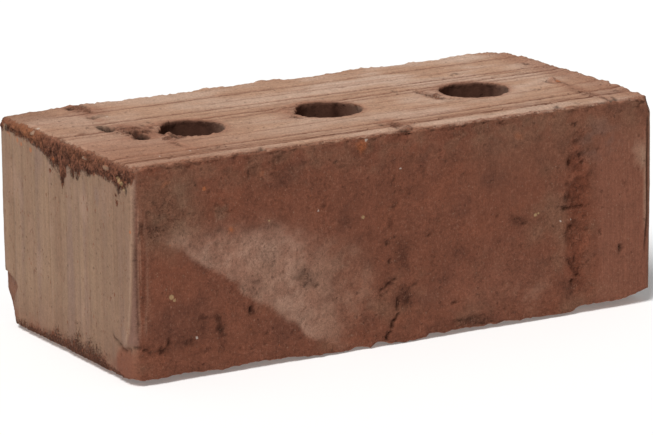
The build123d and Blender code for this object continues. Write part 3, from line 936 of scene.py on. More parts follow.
def under_bed(points):
    """The lower bed: drawn by the same wire, with a few shallow scars from drying."""
    found = drawn_bed(points * (1, 1, -1), 201, 0.8)
    patches = rise(noise(points, 26, 211), 0.25, 0.6)
    crumbled = 0.2 * patches * crumbs(points, 2.4, 213)
    found["height"] = found["height"] * (1 - 0.5 * patches) - 0.25 * patches + crumbled
    found["crumbly"] = 0.5 * patches
    return found


def pressed_face(points, across, seed, streaks=0.09):
    """A face that slid along the die: fine streaks up and down, gentle dents and a few small pits."""
    size = np.array((40.0, 40.0, 110.0))
    size[across] = 1.6
    wide = np.array((60.0, 60.0, 160.0))
    wide[across] = 7.0
    height = streaks * rough(points, size, seed, 3) + 0.12 * rough(points, wide, seed + 1, 2)
    height += 0.22 * rough(points, 24, seed + 2, 2) + 0.08 * rough(points, 6.0, seed + 3, 4)
    pits = rise(crumbs(points, 7.0, seed + 4), 0.86, 0.97)
    # Painted shade in the small pits
    return {"height": height - 0.6 * pits, "hollow": 0.6 * pits}


def left_header(points):
    """The left header: streaks from the die, the torn fringe under its arris, and crumbs along its foot."""
    found = pressed_face(points, 1, 301, 0.06)
    y, z = points[:, 1], points[:, 2]
    wide_y, wide_z = wandered(points, (1, 2), 3.0, 0.5, 311)
    # hollow gathers painted shade: in the die's pits, down the lines, in crevices of the fringe, in the crack
    # and nicks
    height, hollow = 0.75 * found["height"], 0.4 * found["hollow"]

    for place, width, depth, low, high in HEADER_LINES:
        reach = rise(z, low, low + 8) * (1 - rise(z, high - 8, high))
        line = reach * bell(y + 0.25 * noise(points, (40, 40, 22), 313), place, width)
        height -= depth * line
        hollow += 0.5 * depth * line

    crumb = crumbs(points, (2.2, 2.0, 3.4), 317)
    small = crumbs(points, (1.3, 1.1, 1.8), 319)
    limit = np.interp(y, FRINGE_PLACES, FRINGE_LIMITS)
    over = z - limit + 1.3 * rough(points, (6, 1.6, 3.4), 323, 3)
    over = np.maximum(over, 3.2 * ovals(wide_y, wide_z, FRINGE_SPOTS, 0.8) - 0.9)
    over -= 6.0 * ovals(wide_y, wide_z, SKIN_PATCHES, 0.5) * (over < 6)
    fringe = rise(over, -0.2, 1.4)
    height = height * (1 - 0.7 * fringe) + fringe * (2.3 * crumb + 1.3 * small - 1.9)
    hollow += fringe * (0.6 * rise(0.34 - crumb, 0, 0.25) + 0.35 * rise(0.3 - small, 0, 0.2))
    below = np.clip(1 - (limit - z) / np.interp(y, SPRINKLE_PLACES, SPRINKLE_DROPS), 0, 1) * (z < limit + 2)

    climb = np.interp(y, CRUMB_PLACES, CRUMB_LIMITS)
    dust = np.clip(1 - z / np.maximum(climb, 0.5), 0, 1) ** 0.6
    stuck = rise(noise(points, (2.2, 1.6, 2.0), 331) + 1.2 * dust, 0.75, 1.1) * rise(dust, 0.0, 0.15)
    height += 0.6 * stuck * (0.3 + crumb)

    bulge = oval(wide_y, wide_z, (-51.5, 5, 10.5, 10.5, 1), 0.8) * rise(-y, 40, 44)
    crack = rise(0.9 - polyline_distance(wide_y, wide_z, FOOT_CRACK), 0, 0.8)
    flake = oval(wide_y, wide_z, (-52, 17.5, 3.4, 5, 1), 0.3)
    lumps = oval(wide_y, wide_z, (-45.5, 8, 2.6, 6, 1), 0.7)
    height += 0.9 * bulge - 0.9 * crack + 0.35 * flake + 0.7 * lumps * crumb

    corner = y + HALF_WIDTH
    lip = np.interp(z, LIP_HEIGHTS, LIP_PLACES)
    standing = rise(z, 14, 20) * (1 - rise(z, 74, 80))
    height += standing * (0.3 * bell(corner, lip, 0.7) - 0.55 * rise(lip - corner, 0.0, 1.4))
    crusted = np.where(dust > 0, 3.4 * dust - 3.0 + 0.7 * stuck, UNTORN)
    torn = np.maximum(np.clip(1.6 * over, UNTORN, 3), crusted)
    nicks = marks_over(wide_y, wide_z, WIDE_HEADER_MARKS)
    # Painted shade in the foot crack and the nicks
    hollow = np.maximum(np.clip(hollow + 0.6 * crack, 0, 1.2), NICK_SHADE * nicks)
    found.update(height=height - NICK_DEPTH * nicks, torn=torn, hollow=hollow)
    found["dusted"] = np.maximum(dust, 0.75 * below)
    found["rusty"] = fringe * (bell(y, 36, 13) + 0.35 * bell(y, -12, 12) * rise(z, 81, 84))
    found["crumbly"] = np.clip(0.8 * fringe + 0.7 * stuck + 0.35 * bulge, 0, 1)
    return found


def front_stretcher(points):
    """The front stretcher: scores beside both ends, scabs, dents and cracks, and the scaly strip."""
    found = pressed_face(points, 0, 401, 0.05)
    x, z = points[:, 0], points[:, 2]
    wide_x, wide_z = wandered(points, (0, 2), 3.4, 0.6, 411)
    crumb = crumbs(points, 2.6, 413)
    small = crumbs(points, 1.4, 415)
    height, hollow = found["height"], 0.7 * found["hollow"]

    rough_skin = np.clip(ovals(wide_x, wide_z, ROUGH_PATCHES, 0.8), 0, 1)
    height += rough_skin * (1.3 * crumb + 0.7 * small - 0.75)
    crevices = rough_skin * (0.6 * rise(0.36 - crumb, 0, 0.2) + 0.5 * rise(0.3 - small, 0, 0.2))

    pits = ovals(wide_x, wide_z, FRONT_PITS, 0.6)
    recess = ovals(wide_x, wide_z, FRONT_FLAKES, 0.18)
    shaded = sum(mark[4] * shaded_rim(wide_x, wide_z, mark) for mark in FRONT_FLAKES)
    rings = sum(up * ring(wide_x, wide_z, *mark, width) for *mark, width, up in FRONT_RINGS)
    cracks = lines_over(wide_x, wide_z, FRONT_CRACKS)
    height += rings - pits - recess - cracks + ovals(wide_x, wide_z, FRONT_LUMPS, 1.0)

    score = rise(z, 16, 24) * (1 - rise(z, 52, 60))
    ridges = rise(-x, 117, 119.5) * (1 - rise(-x, 122, 123.5))
    near_left = 1 - rise(x + HALF_LENGTH, 0.8, 2.8)
    height += 0.10 * ridges * np.sin(2 * np.pi * x / 1.5) * rise(z, 14, 22)
    height -= 0.55 * score * bell(x, -123.4, 0.8) + 0.3 * near_left * rise(z, 14, 22) * (1 - rise(z, 74, 80))
    right_score = rise(z, 14, 32) * (1 - rise(z, 76, 82))
    place = 122.5 - 1.3 * (1 - rise(z, 15, 40)) + 0.2 * noise(points, (40, 40, 14), 419)
    groove = right_score * bell(x, place, 0.6)
    height += 0.45 * right_score * bell(x, place - 1.5, 0.7) - 1.1 * groove
    # Painted shade in the groove by the right arris and the score by the left one
    hollow += 0.9 * groove + 0.7 * score * bell(x, -123.4, 0.8)

    top_edge = rise(z, 84.5, 88.0)
    chips = rise(rough(points, (4.5, 40, 3.0), 421, 3) + 0.5 * top_edge, 0.35, 0.7) * rise(z, 81.5, 86.0)
    height += top_edge * 0.4 * rough(points, (2.8, 40, 2.2), 427, 3) - chips * (0.2 + 0.6 * crumb)
    foot_edge = 1 - rise(z, 0.0, 3.5)
    height += foot_edge * 0.5 * rough(points, (3.6, 40, 2.6), 423, 3)
    nicks = marks_over(wide_x, wide_z, WIDE_FRONT_MARKS)
    found["height"] = height - NICK_DEPTH * nicks
    # Painted shade in pits, cracks, the shaded rims of flakes, crevices and nicks
    hollow = np.clip(hollow + 0.6 * pits + 0.8 * cracks + 0.22 * shaded + 0.25 * crevices, 0, 1.1)
    found["hollow"] = np.maximum(hollow, NICK_SHADE * nicks)
    found["torn"] = np.maximum(np.where(rough_skin > 0.1, -2.4 + 1.3 * rough_skin + (0.5 - crumb), UNTORN),
                               -4.0 + 3.4 * chips)
    found["crumbly"] = np.clip(0.8 * rough_skin + 0.3 * foot_edge + 0.5 * chips + 0.1, 0, 1)
    slid = rise(x, 93, 98) * (1 - rise(z, 70, 84))
    slid += 0.7 * oval(wide_x, wide_z, (-107, 40, 15, 22), 0.5)
    slid += 0.7 * oval(wide_x, wide_z, (48, 56, 30, 24), 0.5)
    found["dragged"] = np.clip(slid, 0, 1) * (1 - rough_skin)
    return found


def right_header(points):
    """The right header, pressed by the die, with a torn edge where the wire came out."""
    found = pressed_face(points, 1, 501)
    fringe = rise(points[:, 2] + 1.6 * rough(points, (6, 2.0, 4), 511, 3), 81.5, 83.5)
    foot = 1 - rise(points[:, 2] + 2.2 * rough(points, (6, 2.0, 4), 513, 3), 2.0, 5.5)
    crumb = crumbs(points, 2.4, 515)
    found["height"] = found["height"] + (fringe + 0.7 * foot) * (0.9 * crumb - 0.5)
    found["torn"] = np.maximum(3.2 * fringe - 1.6, 2.4 * foot - 1.8)
    found["crumbly"] = np.clip(0.8 * fringe + 0.7 * foot, 0, 1)
    return found


def rear_stretcher(points):
    """The rear stretcher, pressed by the die, with a score beside each end and some scabs."""
    found = pressed_face(points, 0, 601)
    x, z = points[:, 0], points[:, 2]
    scabs = rise(noise(points, (17, 40, 14), 611), 0.22, 0.55)
    crumb = crumbs(points, 2.6, 613)
    score = bell(np.abs(x), HALF_LENGTH - 2.8, 0.8) * rise(z, 4, 14) * (1 - rise(z, 72, 84))
    edge = rise(z, 84.5, 88.0) + 1 - rise(z, 0.0, 3.5)
    found["height"] = found["height"] + scabs * (0.5 * crumb - 0.2) - 0.7 * score
    found["height"] = found["height"] + edge * 0.5 * rough(points, (3.2, 40, 2.4), 617, 3)
    # Painted shade in the scores beside the ends
    found["hollow"] = found["hollow"] + 0.5 * score
    found["crumbly"] = np.clip(0.55 * scabs + 0.3 * edge, 0, 1)
    return found


def core_wall(points):
    """The wall of a core: drawn lengthways by the rod that made it, and a little torn at both ends."""
    height = 0.12 * rough(points, (2.2, 2.2, 80), 701, 3) + 0.15 * rough(points, (9, 9, 30), 703, 2)
    ends = 1 - rise(np.minimum(points[:, 2], HEIGHT - points[:, 2]), 0.5, 5.0)
    height += ends * (0.45 * crumbs(points, 2.2, 705) - 0.15)
    return {"height": height, "crumbly": 0.5 * ends}


def ball_of_break(sides, reach, hollow):
    """
    The ball whose surface a broken corner follows. It goes through the three points where the break leaves
    the arrises, and dips by the hollow below the flat through them. Back come its middle and its radius.
    """
    sides = np.array(sides, float)
    corner = np.array((HALF_LENGTH, HALF_WIDTH, HEIGHT / 2)) * sides + (0, 0, HEIGHT / 2)
    along, across, up = (corner - sides * np.eye(3)[axis] * reach[axis] for axis in range(3))
    side, other = along - up, across - up
    normal = np.cross(side, other)
    lean = other * (side @ side) - side * (other @ other)
    middle = up + np.cross(lean, normal) / (2 * normal @ normal)
    outward = normal / np.linalg.norm(normal)
    outward *= np.sign(outward @ sides)
    opening = np.linalg.norm(up - middle)
    radius = (opening**2 + hollow**2) / (2 * hollow)
    return middle + outward * (radius - hollow), radius


def balls_of_breaks():
    """The balls of the three broken corners and of the shells off the rear arris, as middle and radius."""
    balls = [ball_of_break(*corner_break) for corner_break in BREAKS]
    away = np.array((0.0, 1.0, 1.0)) / np.sqrt(2)
    for place, half_run, depth in REAR_SPALLS:
        radius = (half_run**2 + depth**2) / (2 * depth)
        balls.append((np.array((place, HALF_WIDTH, HEIGHT)) + away * (radius - depth), radius))
    return balls


def break_off(skin):
    """Pushes the points inside each ball out to its surface, rough like a fracture in fired clay."""
    uneven = 0.5 * rough(skin.place, 6.0, 801, 3) + 0.35 * (crumbs(skin.place, 2.2, 803) - 0.4)
    for middle, radius in balls_of_breaks():
        spoke = skin.place - middle
        reach = np.linalg.norm(spoke, axis=-1)
        inside = radius - reach
        broken = inside > 0
        spoke /= reach[:, None]
        on_ball = middle + spoke * (radius - uneven * rise(inside, 0, 1.5))[:, None]
        skin.place[broken] = on_ball[broken]
        skin.fracture = np.maximum(skin.fracture, rise(inside, -0.4, 0.8))


def flake_off(skin):
    """
    Takes the flake off the rear upright arris of the left header: points of the header that lie outside the
    flake's face, a flat that gets deeper towards the rear, are moved in to it. Its outline is the polygon.
    """
    x, y, z = skin.place.T
    wide_y, wide_z = wandered(skin.place, (1, 2), 2.6, 0.35, 821)
    inside = np.zeros(len(x), bool)
    for (y0, z0), (y1, z1) in zip(HEADER_FLAKE, HEADER_FLAKE[1:] + HEADER_FLAKE[:1]):
        beside = wide_y < y0 + (wide_z - z0) * (y1 - y0) / (z1 - z0 if z1 != z0 else 1e-9)
        inside ^= ((z0 > wide_z) != (z1 > wide_z)) & beside
    rim = polyline_distance(wide_y, wide_z, HEADER_FLAKE[1:-1])
    depth = FLAKE_DEPTH + FLAKE_SLOPE * np.clip(y - HEADER_FLAKE[3][0], 0, 20)
    depth = depth * rise(rim, 0.0, 0.9) + 0.25 * rough(skin.place, 4.0, 823, 3)
    level = -HALF_LENGTH + depth
    cut = inside & (x < level) & (z < HEIGHT / 2)
    skin.place[cut, 0] = level[cut]
    skin.fracture = np.maximum(skin.fracture, inside * (x < -HALF_LENGTH + 4.0) * 1.0)


def ragged_arrises(skin):
    """Moves the foot of the front stretcher and the arrises of the upper bed to their ragged lines."""
    x, y, z = skin.start.T
    fine = rough(skin.start, (2.4, 9, 40), 811, 3)
    foot = np.interp(x, FOOT_PLACES, FOOT_HEIGHTS) + 0.35 * fine
    near_front = bell(y + HALF_WIDTH, 0, 7.0)
    skin.place[:, 2] += foot * near_front * (1 - rise(z, 0, 4.0))
    drop = np.interp(x, REAR_DROP_PLACES, REAR_DROPS) + 0.55 * fine
    skin.place[:, 2] -= drop * bell(y - HALF_WIDTH, 0, 2.6) * rise(z, HEIGHT - 3, HEIGHT)

    sunk = np.clip(0.25 + 0.65 * rough(skin.start, (8, 9, 40), 819, 4), 0, 1.1)
    skin.place[:, 2] -= sunk * bell(y + HALF_WIDTH, 0, 2.0) * rise(z, HEIGHT - 3, HEIGHT)

    across = rough(skin.start, (9, 2.6, 40), 813, 3)
    scallops = np.abs(np.sin(np.pi * (y - 4) / 10.5)) * rise(-y, -12, -4)
    burr = rise(-y, -50, -42) * (1 - rise(-y, 34, 48)) * (1.1 + 0.9 * scallops) + 0.3 * across
    near_top = rise(z, HEIGHT - 3.5, HEIGHT - 0.5)
    right_edge = bell(HALF_LENGTH - x, 0, 2.4) * near_top
    skin.place[:, 0] += burr * right_edge
    skin.place[:, 2] += 0.25 * burr * right_edge

    left_edge = bell(HALF_LENGTH + x, 0, 5.0) * near_top
    skin.place[:, 2] += 0.45 * rough(skin.start, (9, 3.4, 40), 817, 3) * left_edge


# Colour of the clay, painted on the points, with painted light and shade at some arrises and in the cores

def layered(colour, *layers):
    """The colour with others laid over it, one after the other, point by point: each one with its share."""
    for other, share in layers:
        colour = colour + (np.asarray(other) - colour) * np.clip(share, 0, 1)[:, None]
    return colour


def plain(points, colour):
    """One colour for all of the points."""
    return np.tile(np.array(colour), (len(points), 1))


def bed_tint(points, clay):
    """A bed: sandy pink, browner along the front and at the left, redder where the clay was dragged."""
    x, y = wandered(points, (0, 1), 14, 2.5, 901)
    streak = rough(points, (55, 2.2, 40), 903, 3)
    cloud = rough(points, (40, 18, 40), 905, 3)
    tint = plain(points, clay.bed)
    tint = layered(
        tint,
        (clay.bed_pale, rise(cloud, -0.5, 0.5) * (0.35 + 0.5 * rise(x, -70, 60) + 0.3 * rise(y, 10, 40))),
        (clay.bed_red, 0.4 * rise(streak, 0.2, 0.85)),
        (clay.olive, 0.5 * rise(-x, 95, 115) * rise(y, 30, 48)),
        (clay.bed_red, 0.35 * rise(-x, 40, 90) * rise(-y, -5, 20) + 0.2 * rise(-x, 60, 120)),
        (clay.bed_red, 0.55 * rise(x, 108, 121)),
    )
    for place, low, high, width, share in DRAG_TRAILS:
        along = bell(x, place, width) * rise(y, low - 3, low + 3) * (1 - rise(y, high - 3, high + 3))
        tint = layered(tint, (clay.bed_red, share * along))
    near_edge = points[:, 1] + 0.5 * rough(points, (4, 3, 40), 907, 3)
    tint = layered(
        tint,
        (clay.bed_red, 0.13 * rise(-near_edge, 20, 34)),
        (clay.bed_pale, 0.22 * bell(near_edge, -53.8, 1.6)),
        (clay.torn_red_and_lit, 0.7 * bell(near_edge, -57.2, 0.9) + 0.85 * rise(-near_edge, 58.0, 59.0)),
    )
    for near_x, near_y in CORES:
        rim = np.hypot(points[:, 0] - near_x, points[:, 1] - near_y) - CORE_RADIUS
        tint = layered(tint, (clay.bed_red, 0.6 * bell(rim, 0.0, 2.6)))
    return tint


def header_tint(points, clay):
    """A header: buff with greyer and browner columns, and redder at the foot beside the front arris."""
    wide = rough(points, (60, 11, 300), 923, 2)
    narrow = rough(points, (60, 3.4, 130), 925, 2)
    cloud = rough(points, (60, 16, 26), 927, 3)
    return layered(
        plain(points, clay.header),
        (clay.header_grey, 0.9 * rise(wide + 0.3 * cloud, -0.1, 0.45) + 0.25 * rise(narrow, 0.1, 0.7)),
        (clay.header_brown, 0.35 * rise(-narrow, 0.15, 0.7) + 0.5 * rise(-wide + 0.4 * cloud, 0.1, 0.6)),
        (clay.pale_and_lip_highlight, 0.3 * rise(cloud, 0.15, 0.7)),
    )


def left_header_tint(points, clay):
    """The left header: its columns, a reddish foot bulge, a grey smear, painted shade and highlight by the
    corner.
    """
    tint = header_tint(points, clay)
    y, z = wandered(points, (1, 2), 7, 1.2, 931)
    tint = layered(
        tint,
        (clay.header_brown, 0.5 * rise(-z, -26, -6) + 0.45 * rise(-y, 18, 52)),
        (clay.front_red, 0.7 * (1 - rise(z, 2, 9)) * (0.4 + 0.6 * rise(noise(points, 5, 933), -0.2, 0.4))),
        (clay.header_grey, 0.9 * oval(y, z, (-29.5, 71, 3.6, 6.5), 0.7)),
        (clay.front_red, 0.85 * oval(y, z, (-53, 3, 13, 13.5), 0.5)),
        (clay.header_grey, 0.7 * oval(y, z, (-51.5, 17, 3.6, 5.6), 0.5)),
    )
    corner = points[:, 1] + HALF_WIDTH
    lip = np.interp(points[:, 2], LIP_HEIGHTS, LIP_PLACES)
    # Painted highlight along the lip, and painted shade in the groove between the lip and the front arris
    tint = layered(
        tint,
        (clay.pale_and_lip_highlight, 0.5 * bell(corner, lip + 0.5, 0.8) * rise(z, 14, 20)),
        (clay.grey_and_groove_shade, 0.9 * rise(lip - corner, 0.1, 0.9) * rise(z, 13, 17)),
    )
    orange = rise(noise(points, (6, 3.4, 1.6), 935), 0.2, 0.6) * rise(z, 79, 82)
    return layered(tint, (clay.orange, 0.5 * orange))


def stretcher_tint(points, clay, seed):
    """A stretcher: brick red with olive and darker clouds."""
    cloud = rough(points, (30, 40, 26), seed, 4)
    shade = rough(points, (16, 40, 13), seed + 4, 3)
    return layered(
        plain(points, clay.front_red),
        (clay.olive, 0.5 * rise(cloud, 0.1, 0.9)),
        (clay.front_dark, 0.6 * rise(shade, 0.1, 0.8)),
        (clay.front_warm, 0.6 * rise(-shade, 0.2, 0.9)),
    )


def front_tint(points, clay):
    """The front stretcher: its clouds, pale band, olive top and dark patches, and painted shade by the left
    arris.
    """
    tint = stretcher_tint(points, clay, 941)
    x, z = wandered(points, (0, 2), 11, 2.6, 951)
    fine_x, fine_z = wandered(points, (0, 2), 5, 1.2, 953)
    grain = rise(rough(points, (7, 40, 6), 955, 3), -0.4, 0.5)
    tint = layered(
        tint,
        (clay.olive, 0.2 * rise(x, 20, 60) * rise(z, 52, 72) + 0.35 * rise(z, 68, 84) * grain),
        (clay.olive, (0.45 + 0.4 * grain) * oval(x, z, (-107, 66, 19, 24), 0.7)),
        (clay.front_warm, 0.5 * oval(x, z, (-107, 38, 17, 14), 0.6)),
        (clay.front_dark, 0.45 * oval(x, z, (-104, 22, 20, 14), 0.6)),
        (clay.olive, 0.6 * grain * oval(x, z, (-85, 64, 13, 9), 0.7)),
    )

    stretches = [(z - z0) * np.cos(lean) + (x - x0) * np.sin(lean) for x0, z0, lean in BAND_EDGES]
    above = np.min(stretches, axis=0)
    band = rise(above, -0.6, 2.4) * (1 - rise(above, 14, 46)) * (1 - rise(z, 46, 66))
    band *= 1 - rise(x, -48, -22)
    tint = layered(
        tint,
        (clay.front_pale, band * (0.5 + 0.45 * grain)),
        (clay.front_tan, 0.75 * band * grain * oval(x, z, (-70, 33, 17, 16), 0.9)),
        (clay.front_pale, 0.6 * oval(x, z, (-62, 50, 17, 12), 0.8) * (0.5 + 0.5 * grain)),
        (clay.front_tan, (0.25 + 0.4 * grain) * oval(x, z, (-30, 27, 22, 27), 0.6)),
        (clay.front_tan, 0.5 * oval(x, z, (-82, 51, 8, 5), 0.7) * grain),
    )

    for *mark, share in FRONT_DARK_PATCHES:
        tint = layered(tint, (clay.dark_clay_and_shade, share * oval(fine_x, fine_z, mark, 0.8)))
    for smudge in FRONT_SMUDGES:
        tint = layered(tint, (clay.dark_clay_and_shade, lines_over(fine_x, fine_z, [smudge])))
    tint = layered(
        tint,
        (clay.crust, 0.75 * oval(x, z, (86.5, 42, 8, 42), 0.5)),
        (clay.front_rose, 0.8 * rise(x, 94, 100) * (1 - rise(z, 66, 84))),
        (clay.front_rose, 0.5 * oval(x, z, (45, 16, 40, 20), 0.8)),
        (clay.front_tan, 0.8 * oval(fine_x, fine_z, (117.3, 65, 3.6, 8), 0.7)),
        (clay.pale_and_lip_highlight, 0.5 * oval(fine_x, fine_z, (119.6, 62, 1.6, 10), 0.8)),
        (clay.grey_and_groove_shade, 0.6 * oval(x, z, (98, 72, 16, 14), 0.8) * grain),
        (clay.front_tan, 0.5 * oval(x, z, (62, 12, 13, 6), 0.8) * grain),
    )
    for *mark, share in ORANGE_SMEARS:
        tint = layered(tint, (clay.orange, share * oval(fine_x, fine_z, mark, 0.9)))
    # Left end: painted shade in the groove by the arris, and tan and dark lines on the scored strip. Right
    # end: paler lips
    side, height = points[:, 0], points[:, 2]
    arris_groove_shade = (1 - rise(side + HALF_LENGTH, 1.2, 2.6)) * rise(height, 13, 17)
    lines = rough(points, (1.3, 40, 60), 957, 3)
    scored = rise(-side, 117.5, 119.5) * rise(height, 16, 24) * (1 - rise(height, 66, 78))
    return layered(
        tint,
        (clay.grey_and_groove_shade, 0.85 * arris_groove_shade),
        (clay.front_tan, 0.6 * scored * rise(lines, 0.0, 0.5)),
        (clay.front_dark, 0.6 * scored * rise(-lines, 0.0, 0.5)),
        (clay.pale_and_lip_highlight, 0.55 * bell(side, 121.0, 0.6) * rise(height, 24, 40) * (1 - rise(height, 62, 76))),
        (clay.pale_and_lip_highlight, rise(side, 123.2, 123.8) * (0.3 + 0.5 * rise(height, 42, 58))),
    )


def rear_tint(points, clay):
    """The rear stretcher: clouds like those of the front one, with a soft pale patch."""
    tint = stretcher_tint(points, clay, 961)
    x, z = wandered(points, (0, 2), 14, 4.0, 963)
    grain = rise(rough(points, (7, 40, 6), 965, 3), -0.4, 0.5)
    return layered(
        tint,
        (clay.front_pale, (0.35 + 0.4 * grain) * oval(x, z, (38, 40, 46, 30), 0.8)),
        (clay.olive, 0.5 * rise(z, 66, 84) * grain),
    )


def core_tint(points, clay):
    """A core's wall: painted light in dull red on its left, painted shade at the rear, grey highlight to the
    right.
    """
    cloud = rough(points, (10, 10, 26), 971, 3)
    spokes = points[:, None, :2] - np.array(CORES)
    spoke = spokes[np.arange(len(points)), np.argmin(np.linalg.norm(spokes, axis=-1), axis=1)]
    turn = np.degrees(np.arctan2(spoke[:, 1], spoke[:, 0]))
    # Painted light on the left of the wall, painted shade at the rear and a painted grey highlight to the
    # right
    return layered(
        plain(points, clay.core),
        (clay.dark_clay_and_shade, 0.5 * rise(cloud, 0.0, 0.7) + 0.5 * bell(turn, 45, 26)),
        (clay.torn_red_and_lit, 0.9 * rise(turn, 85, 140)),
        (clay.header_grey, 0.7 * bell(turn, -22, 30)),
    )


# What makes each face's relief and its colour
FACES = {
    "upper": (upper_bed, bed_tint), "under": (under_bed, bed_tint), "left": (left_header, left_header_tint),
    "right": (right_header, header_tint), "front": (front_stretcher, front_tint),
    "rear": (rear_stretcher, rear_tint), "core": (core_wall, core_tint),
}


def painted(skin, clay):
    """The colour at each point: each face's own, by its share, and the fractures over it."""
    tint = np.zeros((len(skin.place), 3))
    whole = np.zeros(len(skin.place))
    for face, (_, make) in FACES.items():
        share = skin.faces[face]
        near = np.nonzero(share > LEAST_SHARE)[0]
        tint[near] += share[near, None] * make(skin.place[near], clay)
        whole[near] += share[near]
    tint /= whole[:, None]
    broken = layered(
        plain(tint, clay.fracture),
        (clay.dark_clay_and_shade, 0.25 * rise(rough(skin.place, 6, 981, 3), 0.0, 0.7)),
        (clay.bed_red, 0.7 * rise(skin.place[:, 2], HEIGHT / 2, HEIGHT / 2 + 20)),
    )
    return layered(tint, (broken, 0.9 * skin.fracture))


def brick_skin(shape, strength):
    """The brick's net, eased at its arrises, roughened face by face, made ragged, flaked and broken."""
    points, polygons = brick_net(shape)
    skin = Skin(points)
    ease_arrises(skin, shape)
    for face, (relief, _) in FACES.items():
        skin.add(face, relief)
    skin.place += skin.out * (strength * skin.height)[:, None]
    ragged_arrises(skin)
    flake_off(skin)
    break_off(skin)
    return skin, polygons


def mesh_of(name, points, polygons):
    """A mesh of polygons of several sizes, from whole arrays, smooth shaded."""
    loops = np.concatenate([part.ravel() for part in polygons]).astype(np.int32)
    sizes = np.concatenate([np.full(len(part), part.shape[1], np.int64) for part in polygons])
    starts = np.concatenate(([0], np.cumsum(sizes)[:-1])).astype(np.int32)
    mesh = bpy.data.meshes.new(name)
    mesh.vertices.add(len(points))
    mesh.loops.add(len(loops))
    mesh.polygons.add(len(starts))
    mesh.vertices.foreach_set("co", (points * MM).astype(np.float32).ravel())
    mesh.loops.foreach_set("vertex_index", loops)
    mesh.polygons.foreach_set("loop_start", starts)
    mesh.update(calc_edges=True)
    if mesh.validate(verbose=False):
        raise RuntimeError(f"{name}: the net has faulty polygons")
    mesh.shade_smooth()
    return mesh


def keep_on_points(mesh, name, values):
    """Stores one number, or one colour or direction, for each point of the mesh."""
    kind, field = ("FLOAT", "value") if values.ndim == 1 else ("FLOAT_VECTOR", "vector")
    attribute = mesh.attributes.new(name, kind, "POINT")
    attribute.data.foreach_set(field, values.astype(np.float32).ravel())


# The material: sums of sockets that are written as expressions

class Wire:
    """An output socket of a material. Sums written on it add Math nodes."""

    def __init__(self, paint, socket):
        self.paint = paint
        self.socket = socket

    def sum(self, operation, *values):
        return self.paint.node("ShaderNodeMath", {"operation": operation}, dict(enumerate(values)))

    def __add__(self, other):
        return self.sum("ADD", self, other)

    def __radd__(self, other):
        return self.sum("ADD", other, self)

    def __sub__(self, other):
        return self.sum("SUBTRACT", self, other)

    def __rsub__(self, other):
        return self.sum("SUBTRACT", other, self)

    def __mul__(self, other):
        return self.sum("MULTIPLY", self, other)

    def __rmul__(self, other):
        return self.sum("MULTIPLY", other, self)

    def __truediv__(self, other):
        return self.sum("DIVIDE", self, other)

    def rise(self, low, high):
        """0 below low, 1 above high and an S-shaped rise between them."""
        limits = {"Value": self, "From Min": low, "From Max": high}
        return self.paint.node("ShaderNodeMapRange", {"interpolation_type": "SMOOTHSTEP"}, limits)

    def bell(self, spread):
        """1 at 0 and falling away on both sides as a bell curve does."""
        scaled = self / spread
        return self.sum("EXPONENT", scaled * scaled * -1.0)

    def most(self, other):
        return self.sum("MAXIMUM", self, other)


